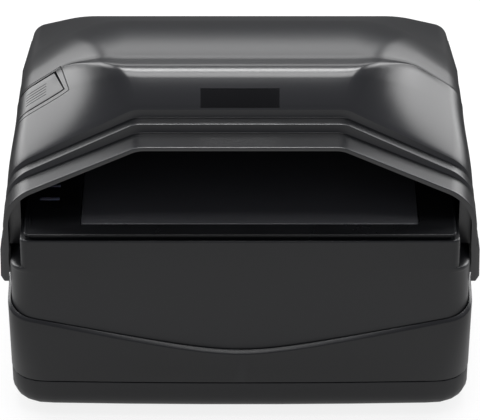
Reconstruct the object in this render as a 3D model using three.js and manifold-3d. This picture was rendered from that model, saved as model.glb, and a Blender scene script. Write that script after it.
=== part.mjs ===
// Desktop passport reader with a hinged hood, in millimetres, +Z up.
// The origin is on the table under the middle of the reader, and the open side of the hood faces -Y.
import * as THREE from 'three';
import { mergeVertices } from 'three/addons/utils/BufferGeometryUtils.js';
import Module from 'manifold-3d';

const wasm = await Module();
wasm.setup();

// Overall sizes
const bodyDepth = 152;
const bodyHalfWidth = 90.2;
const footHeight = 2;
const plateSeam = 16.3;
const deckHeight = 84.7;
const wall = 2.2;
const seatGap = 0.3;
const frontY = -bodyDepth / 2;
const rearY = bodyDepth / 2;

// Plan outline of the casings
const frontBow = 1.5;
const frontRadius = 17;
const waistRadius = 11;
const topRadius = 3;
const rearRadius = 10;
const cornerPower = 2.6;
const plateEdgeRadius = 8;
const plateFloor = 3.2;

// The edge between the two casings, which sweeps up from the middle of the front
const sweepLow = 31.5;
const sweepSlope = 0.23;
const sweepSoftness = 20;
const sweepSide = 53.4;
const sweepRear = 49.2;
const sweepRearStart = rearY - 26;
const sweepRearEnd = rearY - 13;
const sweepChamfer = 1.1;
const ledgeFront = 1.9;
const ledgeSide = 1.2;
const lapDepth = 6;

// Upper casing
const upperRear = rearY - 10;
const upperBow = 0.3;
const upperRearRadius = 6;
const shoulderHeight = 67;
const shoulderRise = 2.5;
const upperTopHalfWidth = bodyHalfWidth - 6.1;
const flangeWidth = 3;
const flangeThickness = 2.2;
const edgeRound = 0.8;

// Window and the frame round it
const frameThickness = 2.2;
const frameInset = 1.6;
const frameSetback = 0.1;
const scoopDepth = 0.8;
const scoopWidth = 19.5;
const scoopRun = 13;
const scoopInset = 2.4;
const beadWidth = 0.9;
const beadHeight = 0.4;
const glassWidth = 129.4;
const glassDepth = 92.6;
const glassThickness = 3;
const glassCentreX = 3.7;
const glassFrontY = frontY + 10.6;
const glassBelowDeck = 0.2;
const gasketThickness = 1;
const gasketWidth = 3;

// Hood, as cross-sections from the rim at the front to the rear wall
const hoodWall = 2;
const hoodRimY = frontY + 13;
const hoodSkirt = 56.2;
const rimTop = 117.7;
const rimThickness = 1.5;
const rimFlat = 39.3;
const rimCorner = 93.5;
const rimSide = bodyHalfWidth + 0.7;
const rimCornerRadius = 18.8;
const treadThree = 10.6;
const treadTwo = 5.2;
const riserHeight = 3.35;
const riserDraft = 0.5;
const ribFlat = 40.8;
const ribCorner = 97.4;
const ribSide = bodyHalfWidth - 0.2;
const ribBlend = 11;
const bevelSteep = 62;
const bevelGentle = 30;
const bevelLength = 16.6;
const crestFlat = 49.5;
const crestCorner = 108.5;
const crestSide = bodyHalfWidth - 2.6;
const crestCornerRadius = 14.8;
const crestBlend = 28;
const creaseEnd = 68;
const creaseRun = 24;
const browDepth = 5.6;
const browDrop = 1.2;
const roofRadius = 120;
const roofStartSlope = 1;
const roofEndSlope = 29;
const rearEdgeRadius = 8;
const rearFlat = 66;
const rearCorner = 89;
const rearSide = bodyHalfWidth - 4.5;
const rearCornerRadius = 7;
const rimSkirtSide = bodyHalfWidth + 1.2;
const skirtSide = bodyHalfWidth + 2.8;
const skirtFlareDepth = 3;
const skirtKnee = 68.5;
const skirtKneeShare = 0.73;
const ledgeWidth = 0.9;
const ledgeDraft = 0.2;
const ledgeFrontHeight = 72;
const ledgeRearHeight = 84;
const legRibSetback = 6;
const legRibThickness = 1.8;
const legRibClearance = 0.4;
const labelWidth = 30.2;
const labelLow = 125.2;
const labelHigh = 131.8;
const labelRecess = 0.7;
const labelThickness = 0.5;

// Hinge at the back of the hood
const hingeY = rearY - 6.4;
const hingeZ = 59.5;
const knuckleRadius = 3.3;
const hingePinRadius = 1.5;
const pinHeadHeight = 1;
const hingeClearance = 0.1;
const hingeCentreX = 54;
const hoodKnuckleLength = 16;
const bracketLength = 38;
const bracketThickness = 1.5;
const bracketTop = 71;
const bracketScrewZ = 67.2;

// Release button on the left shoulder and the latch under it
const buttonFrontY = -29;
const buttonRearY = -13;
const buttonEndX = -70.5;
const buttonSkew = 20;
const buttonBottom = 91;
const buttonClearance = 0.6;
const buttonBottomClearance = 1.4;
const buttonFlange = 1.3;
const buttonFlangeThickness = 1.1;
const buttonStemHeight = 3;
const buttonStemWidth = 4;
const buttonStemReach = 3.8;
const latchPivotX = -(bodyHalfWidth - 10.7);
const latchPivotZ = 91;
const latchPinRadius = 1;
const latchBossRadius = 2.1;
const latchWidth = 6;
const latchThickness = 1.6;
const latchArmHeight = 13.5;
const latchHookTop = 75.5;
const latchHookHeight = 3.5;
const latchHookReach = 1.1;
const latchDropThickness = 1;
const latchGap = 0.3;
const latchSlotRun = 3;

// Inside the casing
const chamberWall = 1.6;
const chamberBottom = 12;
const chamberFootHalfX = 36;
const chamberFootDepth = 46;
const lensRadius = 8;
const cameraBoardHalfX = 22;
const cameraBoardHalfY = 14;
const lampBoardHalfY = 32;
const lampBoardHalfZ = 7;
const lampPitch = 12;
const statusBoardMargin = 5;
const buzzerRadius = 6;
const buzzerHeight = 7;
const heatSinkWidth = 22;
const heatSinkDepth = 20;
const heatSinkHeight = 7;
const heatSinkGrooves = 4;
const lensTop = 24;
const boardThickness = 1.6;
const mainBoardZ = 17.3;
const mainBoardHalfX = 62;
const mainBoardFront = rearY - 39;
const mainBoardRear = rearY - 4;
const postRadius = 3;
const screwBossRadius = 3.6;
const screwRadius = 1.5;
const screwHeadRadius = 2.8;
const screwHeadHeight = 1.6;
const screwLength = 20;
const bossHeight = 4;
const boltX = bodyHalfWidth - 10.7;
const boltY = rearY - 30;
const footRadius = 7.5;
const footInsetX = 20;
const footInsetY = 18;
const usbCentreX = 18;
const usbWidth = 12;
const usbHeight = 11;
const powerCentreX = -19;
const powerWidth = 10;
const socketDepth = 15;
const lightPipeWidth = 7.6;
const lightPipeDepth = 1.7;
const lightPipeFront = frontY + 27.8;
const lightPipePitch = 9.1;

// Materials
function plastic(color, roughness) {
  return new THREE.MeshStandardMaterial({ color, roughness, metalness: 0 });
}
const materials = {
  charcoal: plastic(0x2c2d30, 0.42),
  deck: plastic(0x0c0d0f, 0.35),
  inner: plastic(0x141517, 0.6),
  rubber: plastic(0x111111, 0.85),
  glass: new THREE.MeshStandardMaterial({ color: 0x0a0c0f, roughness: 0.05, transparent: true, opacity: 0.6 }),
  lightPipe: plastic(0x5a5a70, 0.3),
  label: plastic(0x08080a, 0.3),
  board: plastic(0x0d3b24, 0.5),
  component: plastic(0x1b1c1e, 0.5),
  steel: new THREE.MeshStandardMaterial({ color: 0xa8abb0, roughness: 0.3, metalness: 1 }),
};

const reader = new THREE.Group();

function add(name, solid, material) {
  const mesh = new THREE.Mesh(toGeometry(solid), material);
  mesh.name = name;
  reader.add(mesh);
}

// Solids
function toSolid(geometry) {
  const bare = geometry.clone();
  bare.deleteAttribute('normal');
  bare.deleteAttribute('uv');
  const merged = mergeVertices(bare, 1e-4);
  const index = merged.index.array;
  const kept = [];
  for (let i = 0; i < index.length; i += 3) {
    const [a, b, c] = [index[i], index[i + 1], index[i + 2]];
    if (a !== b && b !== c && c !== a) kept.push(a, b, c);
  }
  const mesh = new wasm.Mesh({
    numProp: 3,
    vertProperties: new Float32Array(merged.attributes.position.array),
    triVerts: new Uint32Array(kept),
  });
  return new wasm.Manifold(mesh);
}

function toGeometry(solid) {
  const mesh = solid.getMesh();
  const geometry = new THREE.BufferGeometry();
  geometry.setAttribute('position', new THREE.BufferAttribute(mesh.vertProperties, 3));
  geometry.setIndex(new THREE.BufferAttribute(mesh.triVerts, 1));
  return geometry;
}

function join(first, ...others) {
  return others.reduce((sum, next) => sum.add(next), first);
}

function cut(first, ...others) {
  return others.reduce((rest, next) => rest.subtract(next), first);
}

function block(low, high) {
  const size = high.map((value, axis) => value - low[axis]);
  const geometry = new THREE.BoxGeometry(...size);
  geometry.translate(...low.map((value, axis) => value + size[axis] / 2));
  return toSolid(geometry);
}

// A round rod from a start point along one axis
function rod(axis, start, length, radius, sides = 20) {
  const geometry = new THREE.CylinderGeometry(radius, radius, length, sides);
  if (axis === 'x') geometry.rotateZ(-Math.PI / 2);
  if (axis === 'z') geometry.rotateX(Math.PI / 2);
  const middle = { x: [length / 2, 0, 0], y: [0, length / 2, 0], z: [0, 0, length / 2] }[axis];
  geometry.translate(...start.map((value, i) => value + middle[i]));
  return toSolid(geometry);
}

// A turned piece standing on a point, from [radius, height] pairs
function turned(profile, [x, y, z], sides = 24) {
  const geometry = new THREE.LatheGeometry(profile.map(([r, h]) => new THREE.Vector2(r, h)), sides);
  geometry.rotateX(Math.PI / 2);
  geometry.translate(x, y, z);
  return toSolid(geometry);
}

// Joins closed loops of equal count into one closed surface. As a ring, the last loop joins the first,
// otherwise both end loops are filled from their middle.
function loft(loops, ring = false) {
  const count = loops[0].length;
  const points = loops.flat();
  const triangles = [];
  const rows = ring ? loops.length : loops.length - 1;
  for (let row = 0; row < rows; row += 1) {
    const next = (row + 1) % loops.length;
    for (let i = 0; i < count; i += 1) {
      const j = (i + 1) % count;
      const [a, b, c, d] = [row * count + i, row * count + j, next * count + j, next * count + i];
      triangles.push(a, b, c, a, c, d);
    }
  }
  const ends = ring ? [] : [[0, true], [loops.length - 1, false]];
  for (const [row, flip] of ends) {
    const middle = points.length;
    const sum = loops[row].reduce((total, p) => total.map((v, k) => v + p[k]), [0, 0, 0]);
    points.push(sum.map((v) => v / count));
    for (let i = 0; i < count; i += 1) {
      const [a, b] = [row * count + i, row * count + ((i + 1) % count)];
      triangles.push(...(flip ? [b, a, middle] : [a, b, middle]));
    }
  }
  const geometry = new THREE.BufferGeometry();
  geometry.setAttribute('position', new THREE.Float32BufferAttribute(points.flat(), 3));
  geometry.setIndex(triangles);
  return toSolid(geometry);
}

function mix(from, to, share) {
  return from + (to - from) * share;
}

function smooth(low, high, value) {
  const share = THREE.MathUtils.clamp((value - low) / (high - low), 0, 1);
  return share * share * (3 - 2 * share);
}

const radians = THREE.MathUtils.degToRad;

// Plan outline seen from above, from the middle of the front round by the right side, anticlockwise.
// Every outline has the same number of points, so outlines of different sizes can be lofted.
function planOutline({ side, front, rear, bow = 0, nose, tail, centreX = 0 }) {
  const right = [];
  const frontSteps = 5;
  for (let i = 0; i <= frontSteps; i += 1) {
    const x = (side - nose) * (i / frontSteps);
    right.push([x, front + bow * (x / side) ** 2]);
  }
  const frontEdge = right[frontSteps][1];
  const corner = (radius, x, y, up, steps) => {
    for (let i = 1; i <= steps; i += 1) {
      const turn = (Math.PI / 2) * (i / steps);
      const across = radius * Math.sin(turn) ** (2 / cornerPower);
      const along = radius * Math.max(Math.cos(turn), 0) ** (2 / cornerPower);
      right.push(up ? [x + along, y + across] : [x + across, y - along]);
    }
  };
  corner(nose, side - nose, frontEdge + nose, false, 5);
  const sideSteps = 5;
  for (let i = 1; i <= sideSteps; i += 1) {
    right.push([side, mix(frontEdge + nose, rear - tail, i / sideSteps)]);
  }
  corner(tail, side - tail, rear - tail, true, 4);
  const left = right.slice(1).reverse().map(([x, y]) => [-x, y]);
  return [...right, ...left].map(([x, y]) => [x + centreX, y]);
}

// The height of the sweeping edge at a point of the outer outline
function sweepHeight(x, y) {
  const run = Math.abs(x) + Math.max(0, y - (frontY + frontBow));
  const rise = sweepLow + sweepSlope * (Math.hypot(run, sweepSoftness) - sweepSoftness);
  return mix(Math.min(rise, sweepSide), sweepRear, smooth(sweepRearStart, sweepRearEnd, y));
}

const outerPlan = {
  side: bodyHalfWidth,
  front: frontY,
  rear: rearY,
  bow: frontBow,
  nose: frontRadius,
  tail: rearRadius,
};
const waistPlan = { ...outerPlan, nose: waistRadius };
const waistOutline = planOutline(waistPlan);

function loopAt(plan, height) {
  return planOutline(plan).map(([x, y], i) => [x, y, height === undefined ? 0 : heightOf(height, i)]);
}

// A height is a number, or an amount below the sweeping edge
function heightOf(height, i) {
  return typeof height === 'number' ? height : sweepHeight(...waistOutline[i]) - height.belowSweep;
}

function inset(plan, amount) {
  return {
    ...plan,
    side: plan.side - amount,
    front: plan.front + amount,
    rear: plan.rear - amount,
    nose: Math.max(plan.nose - amount, 0.5),
    tail: Math.max(plan.tail - amount, 0.5),
  };
}

// The upper casing stands inside the lower one, further in at the front than at the sides
const upperFront = frontY + ledgeFront;
const lapPlan = {
  side: bodyHalfWidth - ledgeSide,
  front: upperFront,
  rear: upperRear + seatGap,
  bow: upperBow,
  nose: waistRadius,
  tail: upperRearRadius,
};
const upperPlan = inset(lapPlan, seatGap);
const shoulderPlan = { ...upperPlan, side: upperTopHalfWidth, nose: topRadius };
const upperTop = deckHeight - frameThickness - seatGap;
const flangeBottom = upperTop - flangeThickness;

// Places that several pieces share
const plateFloorTop = footHeight + plateFloor;
const boltPlaces = [-1, 1].flatMap((sx) => [-1, 1].map((sy) => [sx * boltX, sy * boltY]));
const standoffs = [-1, 1].flatMap((sx) => [mainBoardFront + 5, mainBoardRear - 6].map((y) => [
  sx * (mainBoardHalfX - 5),
  y,
]));
const glassPlan = {
  side: glassWidth / 2,
  front: glassFrontY,
  rear: glassFrontY + glassDepth,
  nose: 1.5,
  tail: 1.5,
  centreX: glassCentreX,
};
const glassTop = deckHeight - glassBelowDeck;
const gasketTop = glassTop - glassThickness - seatGap;
const chamberTop = gasketTop - gasketThickness - seatGap;
const glassMiddleY = glassFrontY + glassDepth / 2;
const chamberPosts = [-1, 1].flatMap((sx) => [-1, 1].map((sy) => [
  glassCentreX + sx * (chamberFootHalfX - 4),
  glassMiddleY + sy * (chamberFootDepth / 2 - 4),
]));

// Bottom tray with a rounded lower edge, screw bosses and posts for the boards
function basePlate() {
  const loops = [];
  const steps = 5;
  for (let i = 0; i <= steps; i += 1) {
    const turn = (Math.PI / 2) * (i / steps);
    const amount = plateEdgeRadius * (1 - Math.sin(turn));
    loops.push(loopAt(inset(outerPlan, amount), footHeight + plateEdgeRadius * (1 - Math.cos(turn))));
  }
  loops.push(loopAt(outerPlan, plateSeam));
  loops.push(loopAt(inset(outerPlan, wall), plateSeam));
  loops.push(loopAt(inset(outerPlan, wall), footHeight + plateEdgeRadius));
  loops.push(loopAt(inset(outerPlan, wall + plateEdgeRadius / 2), plateFloorTop));
  const post = ([x, y], top, radius) => rod('z', [x, y, plateFloorTop - 1], top - plateFloorTop + 1, radius, 12);
  const plate = join(
    loft(loops),
    ...boltPlaces.map((place) => post(place, plateSeam + bossHeight, screwBossRadius)),
    ...standoffs.map((place) => post(place, mainBoardZ - seatGap, postRadius)),
    ...chamberPosts.map((place) => post(place, chamberBottom - seatGap, postRadius)),
  );
  const holes = boltPlaces.flatMap(([x, y]) => [
    rod('z', [x, y, -1], plateSeam + bossHeight + 2, screwRadius + seatGap, 12),
    rod('z', [x, y, -1], 1 + screwSeat + screwHeadHeight + seatGap, screwHeadRadius + seatGap, 16),
  ]);
  return cut(plate, ...holes);
}
const screwSeat = footHeight + 0.6;
add('base_plate', basePlate(), materials.charcoal);

for (const [place, sx, sy] of [['front_left', -1, -1], ['front_right', 1, -1], ['rear_left', -1, 1], ['rear_right', 1, 1]]) {
  const profile = [[0, 0], [footRadius - 1, 0], [footRadius, 0.8], [footRadius, footHeight], [0, footHeight]];
  const middle = [sx * (bodyHalfWidth - footInsetX), sy * (rearY - footInsetY), 0];
  add(`foot_${place}`, turned(profile, middle), materials.rubber);
  const screw = join(
    rod('z', [sx * boltX, sy * boltY, screwSeat], screwHeadHeight, screwHeadRadius, 16),
    rod('z', [sx * boltX, sy * boltY, screwSeat], screwLength, screwRadius, 12),
  );
  const slot = block(
    [sx * boltX - screwHeadRadius, sy * boltY - 0.4, screwSeat - 1],
    [sx * boltX + screwHeadRadius, sy * boltY + 0.4, screwSeat + 0.7],
  );
  add(`base_screw_${place}`, cut(screw, slot), materials.steel);
}

// Lower casing, a wall whose top follows the sweeping edge
function lowerHousing() {
  const bottom = plateSeam + seatGap;
  const lapInner = inset(lapPlan, wall);
  const shelf = { belowSweep: lapDepth + wall };
  const shell = loft([
    loopAt(outerPlan, bottom),
    loopAt(waistPlan, { belowSweep: sweepChamfer }),
    loopAt(lapPlan, { belowSweep: 0 }),
    loopAt(lapPlan, { belowSweep: lapDepth }),
    loopAt(lapInner, { belowSweep: lapDepth }),
    loopAt(lapInner, shelf),
    loopAt(inset(waistPlan, wall), shelf),
    loopAt(inset(outerPlan, wall), bottom),
  ], true);
  const bosses = boltPlaces.flatMap(([x, y]) => {
    const low = plateSeam + bossHeight + seatGap;
    const sideX = Math.sign(x) * (bodyHalfWidth - wall / 2);
    return [
      rod('z', [x, y, low], screwLength, screwBossRadius, 12),
      block([Math.min(x, sideX), y - wall / 2, low], [Math.max(x, sideX), y + wall / 2, low + screwLength]),
    ];
  });
  const holes = boltPlaces.map(([x, y]) => rod('z', [x, y, 0], screwSeat + screwLength + 1, screwRadius + seatGap, 12));
  const socketHole = (x, width) => block(
    [x - width / 2 - seatGap, rearY - wall - 1, socketZ - seatGap],
    [x + width / 2 + seatGap, rearY + 1, socketZ + usbHeight + seatGap],
  );
  return cut(join(shell, ...bosses), ...holes, socketHole(usbCentreX, usbWidth), socketHole(powerCentreX, powerWidth));
}
const socketZ = mainBoardZ + boardThickness + seatGap;
add('lower_housing', lowerHousing(), materials.charcoal);

// Upper casing: the front panel, the inset shoulders that the hood's legs close over, and the deck flange
const latchMiddleY = (buttonFrontY + buttonRearY) / 2;
const hookOuterX = -upperTopHalfWidth - latchGap;
const hookTipX = hookOuterX + latchHookReach;

function upperHousing() {
  const bottom = { belowSweep: lapDepth - seatGap };
  const shoulderTop = shoulderHeight + shoulderRise;
  const shoulderLoops = [0, 0.35, 0.7, 1].map((share) => {
    const turn = (Math.PI / 2) * share;
    const plan = {
      ...upperPlan,
      side: mix(upperPlan.side, shoulderPlan.side, 1 - Math.cos(turn)),
      nose: mix(upperPlan.nose, shoulderPlan.nose, share),
    };
    return loopAt(plan, shoulderHeight + shoulderRise * Math.sin(turn));
  });
  const shell = loft([
    loopAt(upperPlan, bottom),
    ...shoulderLoops,
    loopAt(shoulderPlan, upperTop - edgeRound),
    loopAt(inset(shoulderPlan, edgeRound), upperTop),
    loopAt(inset(shoulderPlan, wall + flangeWidth), upperTop),
    loopAt(inset(shoulderPlan, wall + flangeWidth), flangeBottom),
    loopAt(inset(shoulderPlan, wall), flangeBottom),
    loopAt(inset(shoulderPlan, wall), shoulderTop - wall),
    loopAt(inset(upperPlan, wall), shoulderHeight - wall),
    loopAt(inset(upperPlan, wall), bottom),
  ], true);
  const slot = block(
    [-bodyHalfWidth, latchMiddleY - latchWidth / 2 - latchGap, latchHookTop - latchHookHeight - latchGap],
    [hookTipX + latchGap, latchMiddleY + latchWidth / 2 + latchSlotRun, upperTop + 1],
  );
  return cut(shell, slot, ...bracketScrewPlaces.map((x) => rod('y', [x, upperRear - 9, bracketScrewZ], 12, screwRadius + seatGap, 12)));
}
const bracketScrewPlaces = [-1, 1].flatMap((side) => [-1, 1].map((end) => side * (hingeCentreX + end * 13)));
add('upper_housing', upperHousing(), materials.charcoal);

// Deck frame with a raised bead round its edge, an opening for the glass and slots for the light pipes
const lightPipeYs = [lightPipeFront, lightPipeFront + lightPipePitch];
const lightPipeX = mix(glassCentreX - glassWidth / 2, frameInset - upperTopHalfWidth, 0.585);
const lightPipeBox = (y, low, high, margin) => block(
  [lightPipeX - lightPipeWidth / 2 - margin, y - lightPipeDepth / 2 - margin, low],
  [lightPipeX + lightPipeWidth / 2 + margin, y + lightPipeDepth / 2 + margin, high],
);

function topFrame() {
  const plan = {
    side: upperTopHalfWidth - frameInset,
    front: upperFront + seatGap + frameSetback,
    rear: upperRear - frameInset,
    nose: topRadius,
    tail: topRadius,
  };
  const bottom = upperTop + seatGap;
  const hole = inset(glassPlan, -seatGap);
  const plate = loft([
    loopAt(plan, bottom),
    loopAt(plan, deckHeight + beadHeight / 2),
    loopAt(inset(plan, beadHeight / 2), deckHeight + beadHeight),
    loopAt(inset(plan, beadWidth), deckHeight + beadHeight),
    loopAt(inset(plan, beadWidth), deckHeight),
    loopAt(hole, deckHeight),
    loopAt(hole, bottom),
  ], true);
  const scoopLeft = scoopInset - plan.side;
  const scoopFront = plan.front + scoopInset + 4;
  const scoop = loft([0, 0.35, 0.7, 1].map((share) => {
    const y = scoopFront + scoopRun * share;
    const low = deckHeight - scoopDepth * (1 - share ** 1.6) - (share === 1 ? 0 : 0.02);
    const [left, right, high] = [scoopLeft, scoopLeft + scoopWidth, deckHeight + 1];
    return [[left, y, high], [right, y, high], [right, y, low], [left, y, low]];
  }));
  const slots = lightPipeYs.map((y) => lightPipeBox(y, bottom - 1, deckHeight + 1, seatGap));
  return cut(plate, scoop, ...slots);
}
add('top_frame', topFrame(), materials.deck);

const glassEdge = 0.4;
add('scan_glass', loft([
  loopAt(glassPlan, glassTop - glassThickness),
  loopAt(glassPlan, glassTop - glassEdge),
  loopAt(inset(glassPlan, glassEdge), glassTop),
]), materials.glass);

add('glass_gasket', loft([
  loopAt(glassPlan, gasketTop - gasketThickness),
  loopAt(glassPlan, gasketTop),
  loopAt(inset(glassPlan, gasketWidth), gasketTop),
  loopAt(inset(glassPlan, gasketWidth), gasketTop - gasketThickness),
], true), materials.rubber);

lightPipeYs.forEach((y, i) => {
  add(`status_light_${i + 1}`, lightPipeBox(y, flangeBottom, deckHeight + 0.1, 0), materials.lightPipe);
});

// Board under the light pipes, held under the deck flange, with a lamp below each pipe
function statusBoard() {
  const top = flangeBottom - seatGap;
  return block(
    [-shoulderPlan.side + wall + 1, lightPipeFront - statusBoardMargin, top - boardThickness],
    [lightPipeX + lightPipeWidth / 2 + 1, lightPipeFront + lightPipePitch + statusBoardMargin, top],
  );
}
add('status_board', statusBoard(), materials.board);

// Contactless antenna round the window, under the frame
function antennaBoard() {
  const left = lightPipeX + lightPipeWidth / 2 + 2;
  const right = shoulderPlan.side - wall - flangeWidth - seatGap;
  const outer = {
    side: (right - left) / 2,
    front: upperFront + seatGap + wall + flangeWidth + seatGap,
    rear: upperRear - 8,
    nose: 2,
    tail: 2,
    centreX: (right + left) / 2,
  };
  const inner = inset(glassPlan, -2 * seatGap);
  const top = upperTop;
  return loft([
    loopAt(outer, top - boardThickness),
    loopAt(outer, top),
    loopAt(inner, top),
    loopAt(inner, top - boardThickness),
  ], true);
}
add('antenna_board', antennaBoard(), materials.board);

// Dark chamber that carries the glass, tapering down to the camera
const chamberFoot = {
  side: chamberFootHalfX,
  front: glassMiddleY - chamberFootDepth / 2,
  rear: glassMiddleY + chamberFootDepth / 2,
  nose: 3,
  tail: 3,
  centreX: glassCentreX,
};
const chamberNeck = chamberTop - 3;
const chamberFloorTop = chamberBottom + chamberWall;

function opticalChamber() {
  const shell = loft([
    loopAt(chamberFoot, chamberBottom),
    loopAt(glassPlan, chamberNeck),
    loopAt(glassPlan, chamberTop),
    loopAt(inset(glassPlan, gasketWidth), chamberTop),
    loopAt(inset(glassPlan, chamberWall), chamberNeck),
    loopAt(inset(chamberFoot, chamberWall), chamberFloorTop),
  ]);
  const hole = rod('z', [glassCentreX, glassMiddleY, 0], chamberFloorTop + 1, lensRadius + seatGap, 24);
  return cut(shell, hole);
}
add('optical_chamber', opticalChamber(), materials.inner);

// Camera under the chamber floor, looking up
const cameraBoardTop = chamberBottom - seatGap;
add('camera_board', block(
  [glassCentreX - cameraBoardHalfX, glassMiddleY - cameraBoardHalfY, cameraBoardTop - boardThickness],
  [glassCentreX + cameraBoardHalfX, glassMiddleY + cameraBoardHalfY, cameraBoardTop],
), materials.board);

const lensBase = cameraBoardTop + seatGap;
const lensHeight = lensTop - lensBase;
const lensBore = lensRadius - 1.8;
const lensShelf = lensHeight - 4;
add('lens_barrel', turned([
  [0, 0],
  [lensRadius, 0],
  [lensRadius, lensShelf - 2],
  [lensRadius - 0.5, lensShelf - 1.5],
  [lensRadius, lensShelf - 1],
  [lensRadius, lensHeight],
  [lensBore, lensHeight],
  [lensBore, lensShelf],
  [0, lensShelf],
], [glassCentreX, glassMiddleY, lensBase]), materials.component);

const lensDisc = lensBore - seatGap;
add('front_lens', turned([
  [0, 0],
  [lensDisc, 0],
  [lensDisc, 1.4],
  [lensDisc * 0.7, 2.2],
  [lensDisc * 0.35, 2.6],
  [0, 2.7],
], [glassCentreX, glassMiddleY, lensBase + lensShelf + seatGap]), materials.glass);

// Lamp boards on the sloping side walls of the chamber
function lampBoard(side) {
  const top = [glassPlan.side - chamberWall, chamberNeck];
  const bottom = [chamberFoot.side - chamberWall, chamberFloorTop];
  const lean = Math.atan2(top[0] - bottom[0], top[1] - bottom[1]);
  const share = 0.82;
  const wallX = mix(bottom[0], top[0], share);
  const wallZ = mix(bottom[1], top[1], share);
  const board = block([-boardThickness, -lampBoardHalfY, -lampBoardHalfZ], [0, lampBoardHalfY, lampBoardHalfZ]);
  const lampHalf = 1.5;
  const lamps = [-2, -1, 0, 1, 2].map((i) => block(
    [-boardThickness - 1.2, i * lampPitch - lampHalf, -lampHalf],
    [-boardThickness, i * lampPitch + lampHalf, lampHalf],
  ));
  const placed = join(board, ...lamps).translate([-seatGap, 0, 0]).rotate([0, THREE.MathUtils.radToDeg(lean), 0]);
  const right = placed.translate([wallX, glassMiddleY, wallZ]);
  const turnedRound = side < 0 ? right.mirror([1, 0, 0]) : right;
  return turnedRound.translate([glassCentreX, 0, 0]);
}
add('lamp_board_left', lampBoard(-1), materials.board);
add('lamp_board_right', lampBoard(1), materials.board);

// Main board at the back of the tray, with its sockets facing the rear
add('main_board', block(
  [-mainBoardHalfX, mainBoardFront, mainBoardZ],
  [mainBoardHalfX, mainBoardRear, mainBoardZ + boardThickness],
), materials.board);

const socketRear = rearY - wall / 2;
function usbSocket() {
  const body = block(
    [usbCentreX - usbWidth / 2, socketRear - socketDepth, socketZ],
    [usbCentreX + usbWidth / 2, socketRear, socketZ + usbHeight],
  );
  const mouth = block(
    [usbCentreX - 4.2, socketRear - 9, socketZ + 1.6],
    [usbCentreX + 4.2, socketRear + 1, socketZ + 9.4],
  );
  const tongue = block(
    [usbCentreX - 2.8, socketRear - 9.5, socketZ + 3.9],
    [usbCentreX + 2.8, socketRear - 2, socketZ + 7.1],
  );
  return join(cut(body, mouth), tongue);
}
add('usb_socket', usbSocket(), materials.steel);

function powerSocket() {
  const body = block(
    [powerCentreX - powerWidth / 2, socketRear - socketDepth, socketZ],
    [powerCentreX + powerWidth / 2, socketRear, socketZ + usbHeight],
  );
  return cut(body, rod('y', [powerCentreX, socketRear - 10, socketZ + usbHeight / 2], 12, 3.2, 20));
}
add('power_socket', powerSocket(), materials.component);

const buzzerProfile = [
  [0, 0],
  [buzzerRadius, 0],
  [buzzerRadius, buzzerHeight - 0.6],
  [buzzerRadius - 0.6, buzzerHeight],
  [1.2, buzzerHeight],
  [1.2, buzzerHeight - 1],
  [0, buzzerHeight - 1],
];
add('buzzer', turned(buzzerProfile, [-mainBoardHalfX * 0.73, mainBoardFront + 15, socketZ]), materials.component);

// A block of fins on the processor, with the grooves between the fins running front to back
function heatSink() {
  const centreX = mainBoardHalfX * 0.73;
  const front = mainBoardFront + 7;
  const left = centreX - heatSinkWidth / 2;
  const base = block([left, front, socketZ], [left + heatSinkWidth, front + heatSinkDepth, socketZ + heatSinkHeight]);
  const pitch = heatSinkWidth / (2 * heatSinkGrooves + 1);
  const grooves = Array.from({ length: heatSinkGrooves }, (_, i) => block(
    [left + pitch * (2 * i + 1), front - 1, socketZ + heatSinkHeight * 0.3],
    [left + pitch * (2 * i + 2), front + heatSinkDepth + 1, socketZ + heatSinkHeight + 1],
  ));
  return cut(base, ...grooves);
}
add('processor_heat_sink', heatSink(), materials.steel);

// Hinge brackets on the rear wall of the upper casing, with two knuckles each, and their pins and screws
function hingeBracket(side) {
  const middle = side * hingeCentreX;
  const half = bracketLength / 2;
  const innerHalf = hoodKnuckleLength / 2 + seatGap;
  const plateY = upperRear + seatGap;
  const low = hingeZ - knuckleRadius;
  const plate = block([middle - half, plateY, low], [middle + half, plateY + bracketThickness, bracketTop]);
  const window = block(
    [middle - innerHalf, plateY - 1, low - 1],
    [middle + innerHalf, plateY + 2 * knuckleRadius, hingeZ + knuckleRadius + seatGap],
  );
  const ears = [-1, 1].map((end) => {
    const start = end < 0 ? middle - half : middle + innerHalf;
    return rod('x', [start, hingeY, hingeZ], half - innerHalf, knuckleRadius, 24);
  });
  const hole = rod('x', [middle - half - 1, hingeY, hingeZ], bracketLength + 2, hingePinRadius + hingeClearance, 20);
  const screwHoles = [-1, 1].map((end) => rod('y', [middle + end * 13, plateY - 1, bracketScrewZ], 5, screwRadius + seatGap, 12));
  return cut(join(cut(plate, window), ...ears), hole, ...screwHoles);
}

for (const [name, side] of [['left', -1], ['right', 1]]) {
  add(`hinge_bracket_${name}`, hingeBracket(side), materials.steel);
  const headStart = side * hingeCentreX - bracketLength / 2 - seatGap - pinHeadHeight;
  add(`hinge_pin_${name}`, join(
    rod('x', [headStart, hingeY, hingeZ], pinHeadHeight, hingePinRadius + 0.8, 20),
    rod('x', [headStart, hingeY, hingeZ], bracketLength + pinHeadHeight + 1, hingePinRadius, 20),
  ), materials.steel);
  for (const [spot, end] of [['a', -1], ['b', 1]]) {
    const x = side * hingeCentreX + end * 13;
    const headY = upperRear + seatGap + bracketThickness + seatGap;
    const screw = join(
      rod('y', [x, headY, bracketScrewZ], screwHeadHeight, 2.4, 16),
      rod('y', [x, upperRear - 6, bracketScrewZ], headY - upperRear + 6.5, screwRadius, 12),
    );
    const slot = block([x - 3, headY + 0.9, bracketScrewZ - 0.4], [x + 3, headY + 3, bracketScrewZ + 0.4]);
    add(`hinge_screw_${name}_${spot}`, cut(screw, slot), materials.steel);
  }
}

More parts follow.
